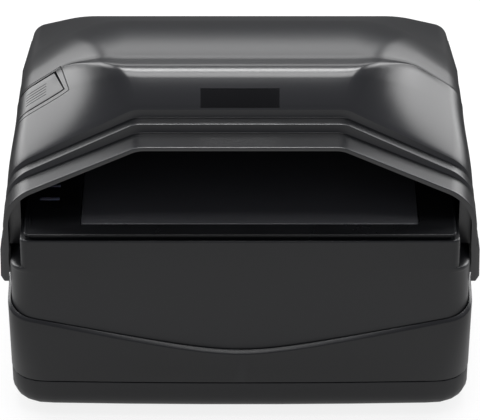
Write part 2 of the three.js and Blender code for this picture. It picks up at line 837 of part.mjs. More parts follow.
// Cross-sections of the hood. Each has its place y, the height of its flat top, the half width of that flat,
// the point where the sloping shoulder would meet the side, the blend between flat and shoulder, how far its
// shoulders lie behind its middle, and the direction in which the wall is offset.
function hoodSections() {
  const rim = { flat: rimFlat, corner: rimCorner, side: rimSide };
  const rib = { flat: ribFlat, corner: ribCorner, side: ribSide };
  const crest = { flat: crestFlat, corner: crestCorner, side: crestSide };
  const rear = { flat: rearFlat, corner: rearCorner, side: rearSide };
  const between = (from, to, share, sideShare = share) => ({
    flat: mix(from.flat, to.flat, share),
    corner: mix(from.corner, to.corner, share),
    side: mix(from.side, to.side, sideShare),
  });
  const sections = [];
  const push = (y, top, shape, offset, blend = ribBlend, sweep = 0, round = 0) => {
    sections.push({ y, top, ...shape, ...offset, blend, sweep, round });
  };

  // The rim and two steps up from it
  const step = { in: 1, down: 1 };
  const firstRiser = hoodRimY + treadThree;
  const secondRiser = firstRiser + riserDraft + treadTwo;
  const ribY = secondRiser + riserDraft;
  const ribTop = rimTop + 2 * riserHeight;
  push(hoodRimY, rimTop, rim, { in: 0, down: rimThickness / hoodWall });
  push(firstRiser, rimTop, rim, step);
  push(firstRiser + riserDraft, rimTop + riserHeight, between(rim, rib, 0.5), step);
  push(secondRiser, rimTop + riserHeight, between(rim, rib, 0.5), step);
  push(ribY, ribTop, rib, { in: 0.96, down: 0.32 });

  // The bevel, an arc that turns from steep to gentle as it climbs to the crest. At the shoulders it runs on
  // further back, so the crease of the crest turns backwards there.
  const bevelSteps = 5;
  const radius = bevelLength / radians(bevelSteep - bevelGentle);
  const bevelPoint = (slope) => [
    ribY + radius * (Math.sin(radians(bevelSteep)) - Math.sin(radians(slope))),
    ribTop + radius * (Math.cos(radians(slope)) - Math.cos(radians(bevelSteep))),
  ];
  const [crestY, crestTop] = bevelPoint(bevelGentle);
  for (let i = 1; i <= bevelSteps; i += 1) {
    const slope = mix(bevelSteep, bevelGentle, i / bevelSteps);
    const [y, top] = bevelPoint(slope);
    const share = (y - ribY) / (crestY - ribY);
    const offset = { in: Math.sin(radians(slope)), down: Math.cos(radians(slope)) };
    const atCrest = { in: 0.19, down: 1.04 };
    const blend = mix(ribBlend, crestBlend, share);
    push(y, top, between(rib, crest, share, smooth(0, 1, share)), i === bevelSteps ? atCrest : offset, blend, creaseRun * share);
  }

  // Behind the crest, the flat top widens, the shoulders flatten and the sides draw in towards the rear
  const roofSteps = 5;
  const roofStart = crestY + browDepth;
  const roofPoint = (slope) => [
    roofStart + roofRadius * (Math.sin(radians(slope)) - Math.sin(radians(roofStartSlope))),
    crestTop - browDrop - roofRadius * (Math.cos(radians(roofStartSlope)) - Math.cos(radians(slope))),
  ];
  const [slopeY, slopeTop] = roofPoint(roofEndSlope);
  const pushRoof = (y, top, offset, drop = 0, round = 0) => {
    const share = (y - crestY) / (rearY - crestY);
    const shape = between(crest, rear, share);
    const fall = Math.max(0, (y - crestY - creaseRun) / (rearY - crestY - creaseRun)) ** 1.3;
    shape.corner = mix(crest.corner, rear.corner, fall) - drop;
    shape.side -= round;
    shape.flat -= round;
    const sweep = creaseRun * Math.max(0, 1 - (y - crestY) / (slopeY - crestY)) ** 1.2;
    push(y, top, shape, offset, crestBlend, sweep, round);
  };
  pushRoof(roofStart, crestTop - browDrop, { in: 0, down: 1 });
  for (let i = 1; i <= roofSteps; i += 1) {
    const slope = mix(roofStartSlope, roofEndSlope, i / roofSteps);
    const [y, top] = roofPoint(slope);
    pushRoof(y, top, { in: -Math.sin(radians(slope)), down: Math.cos(radians(slope)) });
  }

  // A straight slope to the rounded rear edge, where the sides round in as well
  const edgeStart = rearY - rearEdgeRadius * (1 - Math.sin(radians(roofEndSlope)));
  const edgeTop = slopeTop - (edgeStart - slopeY) * Math.tan(radians(roofEndSlope));
  const slopeOffset = { in: -Math.sin(radians(roofEndSlope)), down: Math.cos(radians(roofEndSlope)) };
  pushRoof(mix(slopeY, edgeStart, 0.5), mix(slopeTop, edgeTop, 0.5), slopeOffset);
  const edgeSteps = 4;
  for (let i = 0; i <= edgeSteps; i += 1) {
    const slope = mix(roofEndSlope, 90, i / edgeSteps);
    const y = rearY - rearEdgeRadius * (1 - Math.sin(radians(slope)));
    const drop = rearEdgeRadius * (Math.cos(radians(roofEndSlope)) - Math.cos(radians(slope)));
    const round = rearEdgeRadius * (1 - Math.cos(radians(slope))) * smooth(0, 1, i / edgeSteps);
    pushRoof(y, edgeTop - drop, { in: -Math.sin(radians(slope)), down: Math.cos(radians(slope)) }, drop, round);
  }
  return sections;
}

// Rounds the corner of a line of three points with an arc of the given radius
function filletPoints(before, corner, after, radius, steps) {
  const v1 = new THREE.Vector2(...before).sub(new THREE.Vector2(...corner)).normalize();
  const v2 = new THREE.Vector2(...after).sub(new THREE.Vector2(...corner)).normalize();
  const half = Math.acos(THREE.MathUtils.clamp(v1.dot(v2), -1, 1)) / 2;
  const middle = v1.clone().add(v2).normalize().multiplyScalar(radius / Math.sin(half));
  const centre = new THREE.Vector2(...corner).add(middle);
  const startAngle = Math.atan2(corner[1] + (v1.y * radius) / Math.tan(half) - centre.y, corner[0] + (v1.x * radius) / Math.tan(half) - centre.x);
  const endAngle = Math.atan2(corner[1] + (v2.y * radius) / Math.tan(half) - centre.y, corner[0] + (v2.x * radius) / Math.tan(half) - centre.x);
  const points = [];
  for (let i = 0; i <= steps; i += 1) {
    const angle = mix(startAngle, endAngle, i / steps);
    points.push([centre.x + radius * Math.cos(angle), centre.y + radius * Math.sin(angle)]);
  }
  return points;
}

// One closed loop of the hood at a section, with its surface moved in by an offset
function hoodLoop(section, offset, cavity) {
  const { top, flat, corner, side, round } = section;
  const lean = Math.atan2(top - corner, side - flat);
  const z = top - offset * section.down;
  const sideX = side - offset;
  const cornerZ = corner + offset * (Math.tan(lean) - 1 / Math.cos(lean));
  const flatX = flat - offset * Math.tan(lean / 2);
  const share = THREE.MathUtils.clamp((section.y - hoodRimY) / (rearY - hoodRimY), 0, 1);
  const flare = smooth(hoodRimY, hoodRimY + skirtFlareDepth, section.y);
  const ledgeZ = mix(ledgeFrontHeight, ledgeRearHeight, share) - round;
  const skirtX = mix(rimSkirtSide, skirtSide, flare) - offset - round;
  const ledgeX = sideX + ledgeDraft;
  const ledgeLowX = ledgeX + ledgeWidth * flare;
  const frontRadius = mix(rimCornerRadius, crestCornerRadius, smooth(0, 0.25, share));
  const radius = mix(frontRadius, rearCornerRadius, smooth(0.3, 1, share)) - offset;
  const half = [
    ...(cavity ? [[skirtX, hoodSkirt - 10]] : []),
    [skirtX, hoodSkirt],
    [mix(ledgeLowX, skirtX, skirtKneeShare), skirtKnee],
    [ledgeLowX, ledgeZ - ledgeWidth],
    [ledgeX, ledgeZ],
    ...filletPoints([ledgeX, ledgeZ], [sideX, cornerZ], [flatX, z], radius, 7),
    ...filletPoints([sideX, cornerZ], [flatX, z], [0, z], section.blend, 3),
  ];
  const y = section.y + offset * section.in;
  const back = (x) => y + section.sweep * smooth(flat - 8, creaseEnd, x);
  const right = half.map(([x, height]) => [x, back(x), height]);
  const left = half.slice().reverse().map(([x, height]) => [-x, back(x), height]);
  return [...right, ...left];
}

// The hood's outer form as a solid, moved in by an offset. The cavity version runs out at the front and below.
function hoodForm(offset, cavity = false) {
  const loops = hoodSections().map((section) => hoodLoop(section, offset, cavity));
  if (cavity) {
    const first = loops[0].map(([x, y, z]) => [x, y - 20, z]);
    loops.unshift(first);
  }
  return loft(loops.map((loop) => loop.slice().reverse()));
}

// Prism over the button's outline in plan, grown by a margin all round
function buttonPrism(margin, low, endMargin = margin) {
  const skewRun = ((buttonRearY - buttonFrontY) / 2) * Math.tan(radians(buttonSkew));
  const outline = new THREE.Shape();
  outline.moveTo(-bodyHalfWidth - 10, buttonFrontY - margin);
  outline.lineTo(buttonEndX + skewRun + endMargin, buttonFrontY - margin);
  outline.lineTo(buttonEndX - skewRun + endMargin, buttonRearY + margin);
  outline.lineTo(-bodyHalfWidth - 10, buttonRearY + margin);
  outline.closePath();
  const prism = new THREE.ExtrudeGeometry(outline, { depth: 60, bevelEnabled: false });
  prism.translate(0, 0, low);
  return toSolid(prism);
}

const latchTop = latchPivotZ + latchArmHeight;
const latchContactZ = latchTop - buttonStemHeight / 2 - 0.5;
const latchArmOuterX = latchPivotX - latchThickness / 2;

function releaseButton() {
  const skin = cut(hoodForm(0), hoodForm(hoodWall + seatGap)).intersect(buttonPrism(0, buttonBottom));
  const flange = cut(hoodForm(hoodWall + seatGap - 0.01), hoodForm(hoodWall + seatGap + buttonFlangeThickness))
    .intersect(buttonPrism(buttonFlange, buttonBottom - 0.5, 0));
  const stem = block(
    [latchArmOuterX - seatGap - buttonStemReach, latchMiddleY - buttonStemWidth / 2, latchContactZ - buttonStemHeight / 2],
    [latchArmOuterX - seatGap, latchMiddleY + buttonStemWidth / 2, latchContactZ + buttonStemHeight / 2],
  );
  return join(skin, flange, stem);
}
add('release_button', releaseButton(), materials.charcoal);

// Label plate in a shallow pocket of the bevel
const labelPrism = (margin) => block(
  [-labelWidth / 2 - margin, hoodRimY, labelLow - margin],
  [labelWidth / 2 + margin, hoodRimY + 30, labelHigh + margin],
);
add('label_plate', cut(hoodForm(labelRecess - seatGap - labelThickness), hoodForm(labelRecess - seatGap))
  .intersect(labelPrism(-0.2)), materials.label);

// The hood: a thin shell with a rib in each front leg that closes the gap to the casing, the label's pocket,
// the button's opening, the ears that carry the latch and the knuckles of the hinge
function hoodShell() {
  const shell = cut(hoodForm(0), hoodForm(hoodWall, true));
  const legRibY = hoodRimY + legRibSetback;
  const shoulderTop = shoulderHeight + shoulderRise;
  const legBlocks = [-1, 1].flatMap((side) => [
    [upperPlan.side + legRibClearance, hoodSkirt, shoulderTop + 1],
    [upperTopHalfWidth + legRibClearance, shoulderTop + legRibClearance, rimTop],
  ].map(([inner, low, high]) => {
    const [from, to] = [side * inner, side * (skirtSide + 1)];
    return block([Math.min(from, to), legRibY, low], [Math.max(from, to), legRibY + legRibThickness, high]);
  }));
  const legRibs = hoodForm(hoodWall / 2).intersect(join(...legBlocks));
  const earY = latchWidth / 2 + latchGap;
  const earX = -crestSide - 0.1;
  const ears = [-1, 1].flatMap((end) => {
    const near = latchMiddleY + end * earY;
    const far = near + end * wall;
    const [low, high] = [Math.min(near, far), Math.max(near, far)];
    return [
      block([earX, low, latchPivotZ - 5.2], [latchPivotX + 2.4, high, latchPivotZ - 2.2]),
      block([latchPivotX - 2.4, low, latchPivotZ - 2.5], [latchPivotX + 2.4, high, latchPivotZ + 2.6]),
    ];
  });
  const knuckles = [-1, 1].flatMap((side) => {
    const start = side * hingeCentreX - hoodKnuckleLength / 2;
    return [
      rod('x', [start, hingeY, hingeZ], hoodKnuckleLength, knuckleRadius, 24),
      block(
        [start, hingeY, hingeZ - knuckleRadius],
        [start + hoodKnuckleLength, rearY - hoodWall / 2, hingeZ + knuckleRadius],
      ),
    ];
  });
  const pinHoles = [-1, 1].map((side) => rod('x', [side * hingeCentreX - 30, hingeY, hingeZ], 60, hingePinRadius + hingeClearance, 20));
  const latchPinHole = rod('y', [latchPivotX, latchMiddleY - 10, latchPivotZ], 20, latchPinRadius + hingeClearance, 16);
  const swingRoom = block(
    [0.6 - crestSide, latchMiddleY - earY, latchHookTop - latchHookHeight - 2],
    [latchPivotX, latchMiddleY + earY, latchPivotZ - 2],
  );
  const opening = buttonPrism(buttonClearance, buttonBottom - buttonBottomClearance);
  const labelPocket = cut(labelPrism(0), hoodForm(labelRecess));
  return cut(
    join(cut(shell, opening, labelPocket, swingRoom), legRibs, ...ears, ...knuckles),
    ...pinHoles,
    latchPinHole,
  );
}
add('hood_shell', hoodShell(), materials.charcoal);

// Latch lever: the button pushes its upper arm in, and its hook swings out of the slot in the casing
function latchLever() {
  const low = latchMiddleY - latchWidth / 2;
  const high = latchMiddleY + latchWidth / 2;
  const bossEnd = latchMiddleY + latchWidth / 2 - 2.4;
  const hookBottom = latchHookTop - latchHookHeight;
  const dropX = hookOuterX - latchDropThickness;
  const jogTop = latchPivotZ - 3.2;
  const lever = join(
    rod('y', [latchPivotX, low, latchPivotZ], bossEnd - low, latchBossRadius, 20),
    block([latchArmOuterX, low, latchPivotZ], [latchArmOuterX + latchThickness, bossEnd, latchTop]),
    block([latchArmOuterX, low, jogTop - 1.6], [latchArmOuterX + latchThickness, bossEnd, latchPivotZ]),
    block([dropX, low, jogTop - 1.6], [latchArmOuterX + latchThickness, high, jogTop]),
    block([dropX, low, hookBottom], [hookOuterX, high, jogTop]),
    block([dropX, low, hookBottom], [hookTipX, high, latchHookTop]),
  );
  return cut(lever, rod('y', [latchPivotX, low - 1, latchPivotZ], latchWidth + 2, latchPinRadius + hingeClearance, 16));
}
add('latch_lever', latchLever(), materials.component);

const latchPinHalf = latchWidth / 2 + latchGap + wall;
add('latch_pin', rod('y', [latchPivotX, latchMiddleY - latchPinHalf, latchPivotZ], 2 * latchPinHalf, latchPinRadius, 16), materials.steel);

// Spring round the latch pin, with one leg behind the lever's upper arm and one on the hood's ear
function latchSpring() {
  const start = latchMiddleY + latchWidth / 2 - 2.1;
  const end = start + 1.9;
  const wire = 0.5;
  const inner = latchPinRadius + seatGap;
  const ring = cut(
    rod('y', [latchPivotX, start, latchPivotZ], end - start, inner + 0.7, 20),
    rod('y', [latchPivotX, start - 1, latchPivotZ], end - start + 2, inner, 20),
  );
  const legX = latchPivotX + inner + 0.1;
  const upperLeg = block([legX, start, latchPivotZ], [legX + wire, start + wire, latchPivotZ + 5]);
  const armLeg = block([legX, start - 2.6, latchPivotZ + 5 - wire], [legX + wire, start + wire, latchPivotZ + 5]);
  const legZ = latchPivotZ - inner - 0.6;
  const lowerLeg = block([latchPivotX - 4.2, end - wire, legZ], [latchPivotX, end, legZ + wire]);
  const earLeg = block([latchPivotX - 4.2, end - wire, legZ], [latchPivotX - 4.2 + wire, end + 1.8, legZ + wire]);
  return join(ring, upperLeg, armLeg, lowerLeg, earLeg);
}
add('latch_spring', latchSpring(), materials.steel);

export default reader;
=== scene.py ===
import math

import bmesh
import bpy
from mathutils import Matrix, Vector


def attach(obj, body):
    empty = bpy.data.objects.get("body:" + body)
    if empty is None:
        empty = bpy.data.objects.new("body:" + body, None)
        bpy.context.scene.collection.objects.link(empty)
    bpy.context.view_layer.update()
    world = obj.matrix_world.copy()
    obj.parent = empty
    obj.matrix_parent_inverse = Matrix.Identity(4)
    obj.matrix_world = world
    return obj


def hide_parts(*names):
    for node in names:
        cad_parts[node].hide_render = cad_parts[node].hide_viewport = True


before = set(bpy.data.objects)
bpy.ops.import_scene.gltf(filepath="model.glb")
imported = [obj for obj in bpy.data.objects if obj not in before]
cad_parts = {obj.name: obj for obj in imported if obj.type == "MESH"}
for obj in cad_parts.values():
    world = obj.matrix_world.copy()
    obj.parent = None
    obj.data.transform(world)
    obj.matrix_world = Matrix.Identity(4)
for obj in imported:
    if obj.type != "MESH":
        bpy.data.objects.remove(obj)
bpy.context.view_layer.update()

# Sizes are in millimetres, as in the CAD source, and are scaled on the way into Blender.
MM = 0.001
WALL = 2.2
SEAT_GAP = 0.3
BODY_SIDE = 90.2
FRONT_Y = -76.0
REAR_Y = 76.0
DECK_Z = 84.7
PLATE_SEAM = 16.3

# Edge between the two casings
SWEEP_LOW = 31.5
SWEEP_START = FRONT_Y + 1.5
SWEEP_SLOPE = 0.23
SWEEP_SOFTNESS = 20.0
SWEEP_SIDE = 53.4
SWEEP_REAR = 49.2
SWEEP_FALL_START = REAR_Y - 26.0
SWEEP_FALL_END = REAR_Y - 13.0
SWEEP_CHAMFER = 1.1
LAP_DEPTH = 6.0
LOWER_EDGE_RADIUS = 0.35

# Casings in plan: half width, front, rear, bow of the front, front and rear corner radius. A corner is a
# superellipse, which is round at a power of 2.
CORNER_POWER = 2.6
OUTER = dict(side=BODY_SIDE, front=FRONT_Y, rear=REAR_Y, bow=1.5, nose=17.0, tail=10.0)
WAIST = dict(OUTER, nose=11.0)
LAP = dict(side=BODY_SIDE - 1.2, front=FRONT_Y + 1.9, rear=REAR_Y - 9.7, bow=0.3, nose=11.0, tail=6.0)

# Upper casing, deck frame with its scoop, window and light pipes
UPPER_TOP_SIDE = BODY_SIDE - 6.1
TOP_EDGE_RADIUS = 0.8
SHOULDER_Z = 67.0
SHOULDER_RISE = 2.5
FLANGE_WIDTH = 3.0
FLANGE_THICKNESS = 2.2
FRAME_THICKNESS = 2.2
FRAME_INSET = 1.6
FRAME_SETBACK = 0.1
FRAME_UNDERCUT = 1.5
FRAME_UNDERCUT_TOP = DECK_Z - 0.5
FRAME_LIP_LOW = DECK_Z - 0.25
FRAME_CORNER_RADIUS = 3.0
FRAME_EDGE_RADIUS = 0.12
BEAD_WIDTH = 0.9
BEAD_HEIGHT = 0.4
WINDOW_CHAMFER = 0.15
SCOOP_DEPTH = 0.8
SCOOP_WIDTH = 19.5
SCOOP_RUN = 13.0
SCOOP_INSET = 2.4
SCOOP_SETBACK = 4.0
SCOOP_CURVE = 1.6
GLASS = dict(
    side=64.7, front=FRONT_Y + 10.6, rear=FRONT_Y + 103.2,
    bow=0.0, nose=1.5, tail=1.5, centre_x=3.7,
)
LIGHT_PIPE_SHARE = 0.585
LIGHT_PIPE_FRONT = FRONT_Y + 27.8
LIGHT_PIPE_PITCH = 9.1
LIGHT_PIPE_LENGTH = 7.6
LIGHT_PIPE_WIDTH = 1.7

# Bosses and screw holes inside the casings, and the sockets, each with its place along X and its width
BOSS_INSET = 10.7
BOSS_SETBACK = 30.0
BOSS_LIFT = 4.0
BOSS_HEIGHT = 20.0
BOSS_RADIUS = 3.6
SCREW_HOLE_RADIUS = 1.8
SCREW_HOLE_TOP = 23.6
MAIN_BOARD_Z = 17.3
BOARD_THICKNESS = 1.6
SOCKETS = ((18.0, 12.0), (-19.0, 10.0))
SOCKET_HEIGHT = 11.0
HINGE_SCREW_SPREAD = 13.0
HINGE_SCREW_SETBACK = 19.0
HINGE_SCREW_Z = 67.2
HINGE_SCREW_HOLE_DEPTH = 12.0

# Hood profile along the middle, from the rim at the front to the rear wall
HOOD_WALL = 2.0
RIM_Y = FRONT_Y + 13.0
SKIRT_Z = 56.2
RIM_TOP = 117.7
RIM_THICKNESS = 1.5
RIM_EDGE_RADIUS = 0.34
RISER_FILLET = 0.6 * RIM_EDGE_RADIUS
TREAD_THREE = 10.6
TREAD_TWO = 5.2
RISER_HEIGHT = 3.35
RISER_DRAFT = 0.5
BEVEL_STEEP = 62.0
BEVEL_GENTLE = 30.0
BEVEL_LENGTH = 16.6
BEVEL_STEPS = 18
BROW_DEPTH = 10.6
BROW_DROP = 2.3
ROOF_RADIUS = 110.0
ROOF_START_SLOPE = 1.0
ROOF_END_SLOPE = 29.0
ROOF_STEPS = 22
SLOPE_STEPS = 14
REAR_EDGE_RADIUS = 8.0
REAR_EDGE_STEPS = 10

# At the ribs' top and at the crest, how far the wall's inside lies inward and downward for 1 mm of offset
RIB_TOP_OFFSET = (0.96, 0.32)
CREST_FRONT_OFFSET = (0.19, 1.04)
CREST_REAR_OFFSET = (0.1, 1.0)

# Hood cross-section: half width of the flat top, height of the shoulder's corner, half width of the side
RIM_SHAPE = (39.3, 93.5, BODY_SIDE + 0.7)
RIB_SHAPE = (40.8, 97.4, BODY_SIDE - 0.2)
CREST_SHAPE = (49.5, 108.5, BODY_SIDE - 2.6)
REAR_SHAPE = (66.0, 89.0, BODY_SIDE - 4.5)
RIM_CORNER_RADIUS = 18.8
CREST_CORNER_RADIUS = 14.8
REAR_CORNER_RADIUS = 7.0
RIB_BLEND = 11.0
CREST_BLEND = 16.0
REAR_BLEND = 46.0
CREST_ROUND = 38.0
CREST_ROUND_MARGIN = 0.3
CREASE_END = 72.0
CREASE_LEAD = 6.0
CREASE_RUN = 24.0
CREASE_RETURN = 0.9
CREASE_RETURN_CURVE = 1.1
CORNER_FALL_CURVE = 1.3
RIM_SKIRT_SIDE = BODY_SIDE + 1.2
SKIRT_SIDE = BODY_SIDE + 2.8
SKIRT_TAPER = 1.8
SKIRT_TAPER_END = REAR_Y - 16.0
SKIRT_FLARE_DEPTH = 3.0
SKIRT_KNEE = 68.5
SKIRT_KNEE_SHARE = 0.73
SKIRT_CLEARANCE = 0.35
CAVITY_OVERRUN = 10.0
LEDGE_WIDTH = 0.9
LEDGE_DRAFT = 0.2
LEDGE_FRONT = 72.0
LEDGE_REAR = 84.0
LEG_RIB_SETBACK = 6.0
LEG_RIB_THICKNESS = 9.0
LEG_RIB_CLEARANCE = 0.3
LABEL_WIDTH = 30.2
LABEL_REACH = 30.0
LABEL_LOW = 124.8
LABEL_HIGH = 130.8
LABEL_RECESS = 0.7
LABEL_THICKNESS = 0.5
LABEL_CLEARANCE = 0.2
LABEL_EDGE_RADIUS = 0.1

# Hinge, press tab and latch
HINGE = (REAR_Y - 6.4, 59.5)
KNUCKLE_RADIUS = 3.3
PIN_HOLE = 1.6
PIN_HOLE_LENGTH = 60.0
HINGE_X = 54.0
KNUCKLE_LENGTH = 16.0
TAB_FRONT = -22.6
TAB_REAR = -11.4
TAB_END = -70.5
TAB_SKEW = 20.0
TAB_BOTTOM = 91.0
TAB_CLEARANCE = 0.6
OPENING_LOW = TAB_BOTTOM - 1.4
TAB_FLANGE = 1.3
TAB_FLANGE_LOW = TAB_BOTTOM - 0.5
TAB_FLANGE_THICKNESS = 1.1
TAB_FLANGE_LAP = 0.01
TAB_EDGE_RADIUS = 0.3
GRIP_LINES = (-2.7, -1.35, 0.0, 1.35, 2.7)
GRIP_START = -83.5
GRIP_END = -75.5
GRIP_TOP = 140.0
GRIP_WIDTH = 0.28
GRIP_DEPTH = 0.22
GROOVE_INNER = 2.15
GROOVE_OUTER = 2.5
GROOVE_DEPTH = 0.3
GROOVE_LOW = 95.0
LATCH_X = 10.7 - BODY_SIDE
LATCH_Y = -21.0
LATCH_Z = 91.0
LATCH_WIDTH = 6.0
LEVER_THICKNESS = 0.8
LATCH_PIN_HOLE = 1.1
LATCH_PIN_HOLE_LENGTH = 20.0
HOOK_REACH = 1.1
HOOK_SLOT_LOW = 71.7
HOOK_SLOT_EXTRA = 2.7
SWING_ROOM_SIDE = 3.2 - BODY_SIDE
SWING_ROOM_LOW = 70.0
SWING_ROOM_TOP = LATCH_Z - 2.0
EAR_HALF = 2.4
EAR_LOW = LATCH_Z - 2.5
EAR_TOP = LATCH_Z + 2.6
EAR_ARM_SIDE = 3.0 - BODY_SIDE
EAR_ARM_LOW = LATCH_Z - 5.2
EAR_ARM_TOP = LATCH_Z - 2.2
STEM_LENGTH = 3.8
STEM_WIDTH = 2.8
STEM_LOW = 101.0
STEM_HIGH = 104.0

# Cutting bodies reach well past what they cut
OUTSIDE_X = -110.0
PRISM_HEIGHT = 60.0


def mix(a, b, share):
    return a + (b - a) * share


def mix3(a, b, share):
    return tuple(mix(p, q, share) for p, q in zip(a, b))


def smooth(low, high, value):
    share = min(max((value - low) / (high - low), 0.0), 1.0)
    return share * share * (3 - 2 * share)


def sin(degrees):
    return math.sin(math.radians(degrees))


def cos(degrees):
    return math.cos(math.radians(degrees))


# Meshes
def mesh_object(name, vertices, faces):
    mesh = bpy.data.meshes.new(name)
    mesh.from_pydata([Vector(v) * MM for v in vertices], [], faces)
    mesh.validate()
    obj = bpy.data.objects.new(name, mesh)
    bpy.context.scene.collection.objects.link(obj)
    return obj


def loft(name, loops, ring=False):
    """Joins closed loops of equal count into one closed surface, filling both ends unless it is a ring."""
    count = len(loops[0])
    faces = []
    rows = len(loops) if ring else len(loops) - 1
    for row in range(rows):
        following = (row + 1) % len(loops)
        for i in range(count):
            j = (i + 1) % count
            faces.append((row * count + i, row * count + j, following * count + j, following * count + i))
    if not ring:
        faces.append(tuple(reversed(range(count))))
        faces.append(tuple((len(loops) - 1) * count + i for i in range(count)))
    obj = mesh_object(name, [p for loop in loops for p in loop], faces)
    outward(obj)
    return obj


def outward(obj):
    edit = bmesh.new()
    edit.from_mesh(obj.data)
    bmesh.ops.recalc_face_normals(edit, faces=edit.faces)
    edit.to_mesh(obj.data)
    edit.free()


def together(name, parts):
    """One object from several closed bodies that don't touch one another."""
    vertices, faces = [], []
    for part in parts:
        start = len(vertices)
        vertices += [v.co / MM for v in part.data.vertices]
        faces += [tuple(start + i for i in face.vertices) for face in part.data.polygons]
        bpy.data.objects.remove(part)
    return mesh_object(name, vertices, faces)


def apply_modifiers(obj):
    graph = bpy.context.evaluated_depsgraph_get()
    graph.update()
    made = bpy.data.meshes.new_from_object(obj.evaluated_get(graph))
    obj.modifiers.clear()
    obj.data = made


def boolean(obj, other, operation):
    modifier = obj.modifiers.new("boolean", "BOOLEAN")
    modifier.operation = operation
    modifier.solver = "EXACT"
    modifier.object = other
    apply_modifiers(obj)
    bpy.data.objects.remove(other)
    return obj


def cut(obj, *others):
    for other in others:
        boolean(obj, other, "DIFFERENCE")
    return obj


def join(obj, *others):
    for other in others:
        boolean(obj, other, "UNION")
    return obj


def shade(obj, angle=35):
    obj.data.shade_smooth()
    obj.data.set_sharp_from_angle(angle=math.radians(angle))


def bevel(obj, width_mm, segments=2, angle=40):
    modifier = obj.modifiers.new("bevel", "BEVEL")
    modifier.width = width_mm * MM
    modifier.segments = segments
    modifier.limit_method = "ANGLE"
    modifier.angle_limit = math.radians(angle)
    modifier.use_clamp_overlap = True
    apply_modifiers(obj)
    return obj


def box(name, low, high):
    (x0, y0, z0), (x1, y1, z1) = low, high
    return loft(name, [[(x0, y0, z), (x1, y0, z), (x1, y1, z), (x0, y1, z)] for z in (z0, z1)])


def rod(name, axis, start, length, radius, sides=48):
    """A round rod from a start point along one axis, 0 for X, 1 for Y and 2 for Z."""
    loops = []
    for along in (0, length):
        loop = []
        for i in range(sides):
            turn = 2 * math.pi * i / sides
            point = [radius * math.cos(turn), radius * math.sin(turn)]
            point.insert(axis, along)
            loop.append(tuple(s + p for s, p in zip(start, point)))
        loops.append(loop)
    return loft(name, loops)


def finish_piece(obj, material, body, slot, *nodes, angle=35):
    shade(obj, angle)
    obj.data.materials.clear()
    obj.data.materials.append(material)
    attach(obj, body)
    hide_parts(*nodes)
    return obj


def dress(node, material, body, slot, edge_mm=0.0, angle=35, merge_mm=0.002):
    """A piece made from a CAD node's own form, with its corners joined, its edges softened and a material."""
    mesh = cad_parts[node].data.copy()
    mesh.name = node + "_skin"
    edit = bmesh.new()
    edit.from_mesh(mesh)
    bmesh.ops.remove_doubles(edit, verts=edit.verts, dist=merge_mm * MM)
    bmesh.ops.dissolve_limit(edit, angle_limit=math.radians(0.5), verts=edit.verts, edges=edit.edges)
    edit.to_mesh(mesh)
    edit.free()
    obj = bpy.data.objects.new(node + "_skin", mesh)
    bpy.context.scene.collection.objects.link(obj)
    if edge_mm:
        bevel(obj, edge_mm)
    return finish_piece(obj, material, body, slot, node, angle=angle)


# Casing
def plan_outline(plan):
    """Outline seen from above, from the middle of the front round by the right side, anticlockwise."""
    side, front, rear, bow = plan["side"], plan["front"], plan["rear"], plan["bow"]
    nose, tail, centre_x = plan["nose"], plan["tail"], plan.get("centre_x", 0.0)
    steps = 22
    right = []
    for i in range(steps + 1):
        x = (side - nose) * i / steps
        right.append((x, front + bow * (x / side) ** 2))
    edge = right[-1][1]

    def corner(radius, x, y, rear_corner, count):
        for i in range(1, count + 1):
            turn = math.pi / 2 * i / count
            across = radius * math.sin(turn) ** (2 / CORNER_POWER)
            along = radius * max(math.cos(turn), 0.0) ** (2 / CORNER_POWER)
            right.append((x + along, y + across) if rear_corner else (x + across, y - along))

    corner(nose, side - nose, edge + nose, False, 14)
    for i in range(1, steps + 1):
        right.append((side, mix(edge + nose, rear - tail, i / steps)))
    corner(tail, side - tail, rear - tail, True, 10)
    left = [(-x, y) for x, y in reversed(right[1:])]
    return [(x + centre_x, y) for x, y in right + left]


WAIST_OUTLINE = plan_outline(WAIST)


def sweep_height(x, y):
    """Height of the edge between the casings at one point of the outline."""
    run = abs(x) + max(0.0, y - SWEEP_START)
    rise = SWEEP_LOW + SWEEP_SLOPE * (math.hypot(run, SWEEP_SOFTNESS) - SWEEP_SOFTNESS)
    return mix(min(rise, SWEEP_SIDE), SWEEP_REAR, smooth(SWEEP_FALL_START, SWEEP_FALL_END, y))


def level(plan, height):
    """The outline of a plan at one height."""
    return [(x, y, height) for x, y in plan_outline(plan)]


def below_sweep(plan, amount):
    """The outline of a plan at an amount below the sweeping edge."""
    return [(x, y, sweep_height(*WAIST_OUTLINE[i]) - amount) for i, (x, y) in enumerate(plan_outline(plan))]


def inset(plan, amount):
    return dict(
        plan,
        side=plan["side"] - amount,
        front=plan["front"] + amount,
        rear=plan["rear"] - amount,
        nose=max(plan["nose"] - amount, 0.5),
        tail=max(plan["tail"] - amount, 0.5),
    )


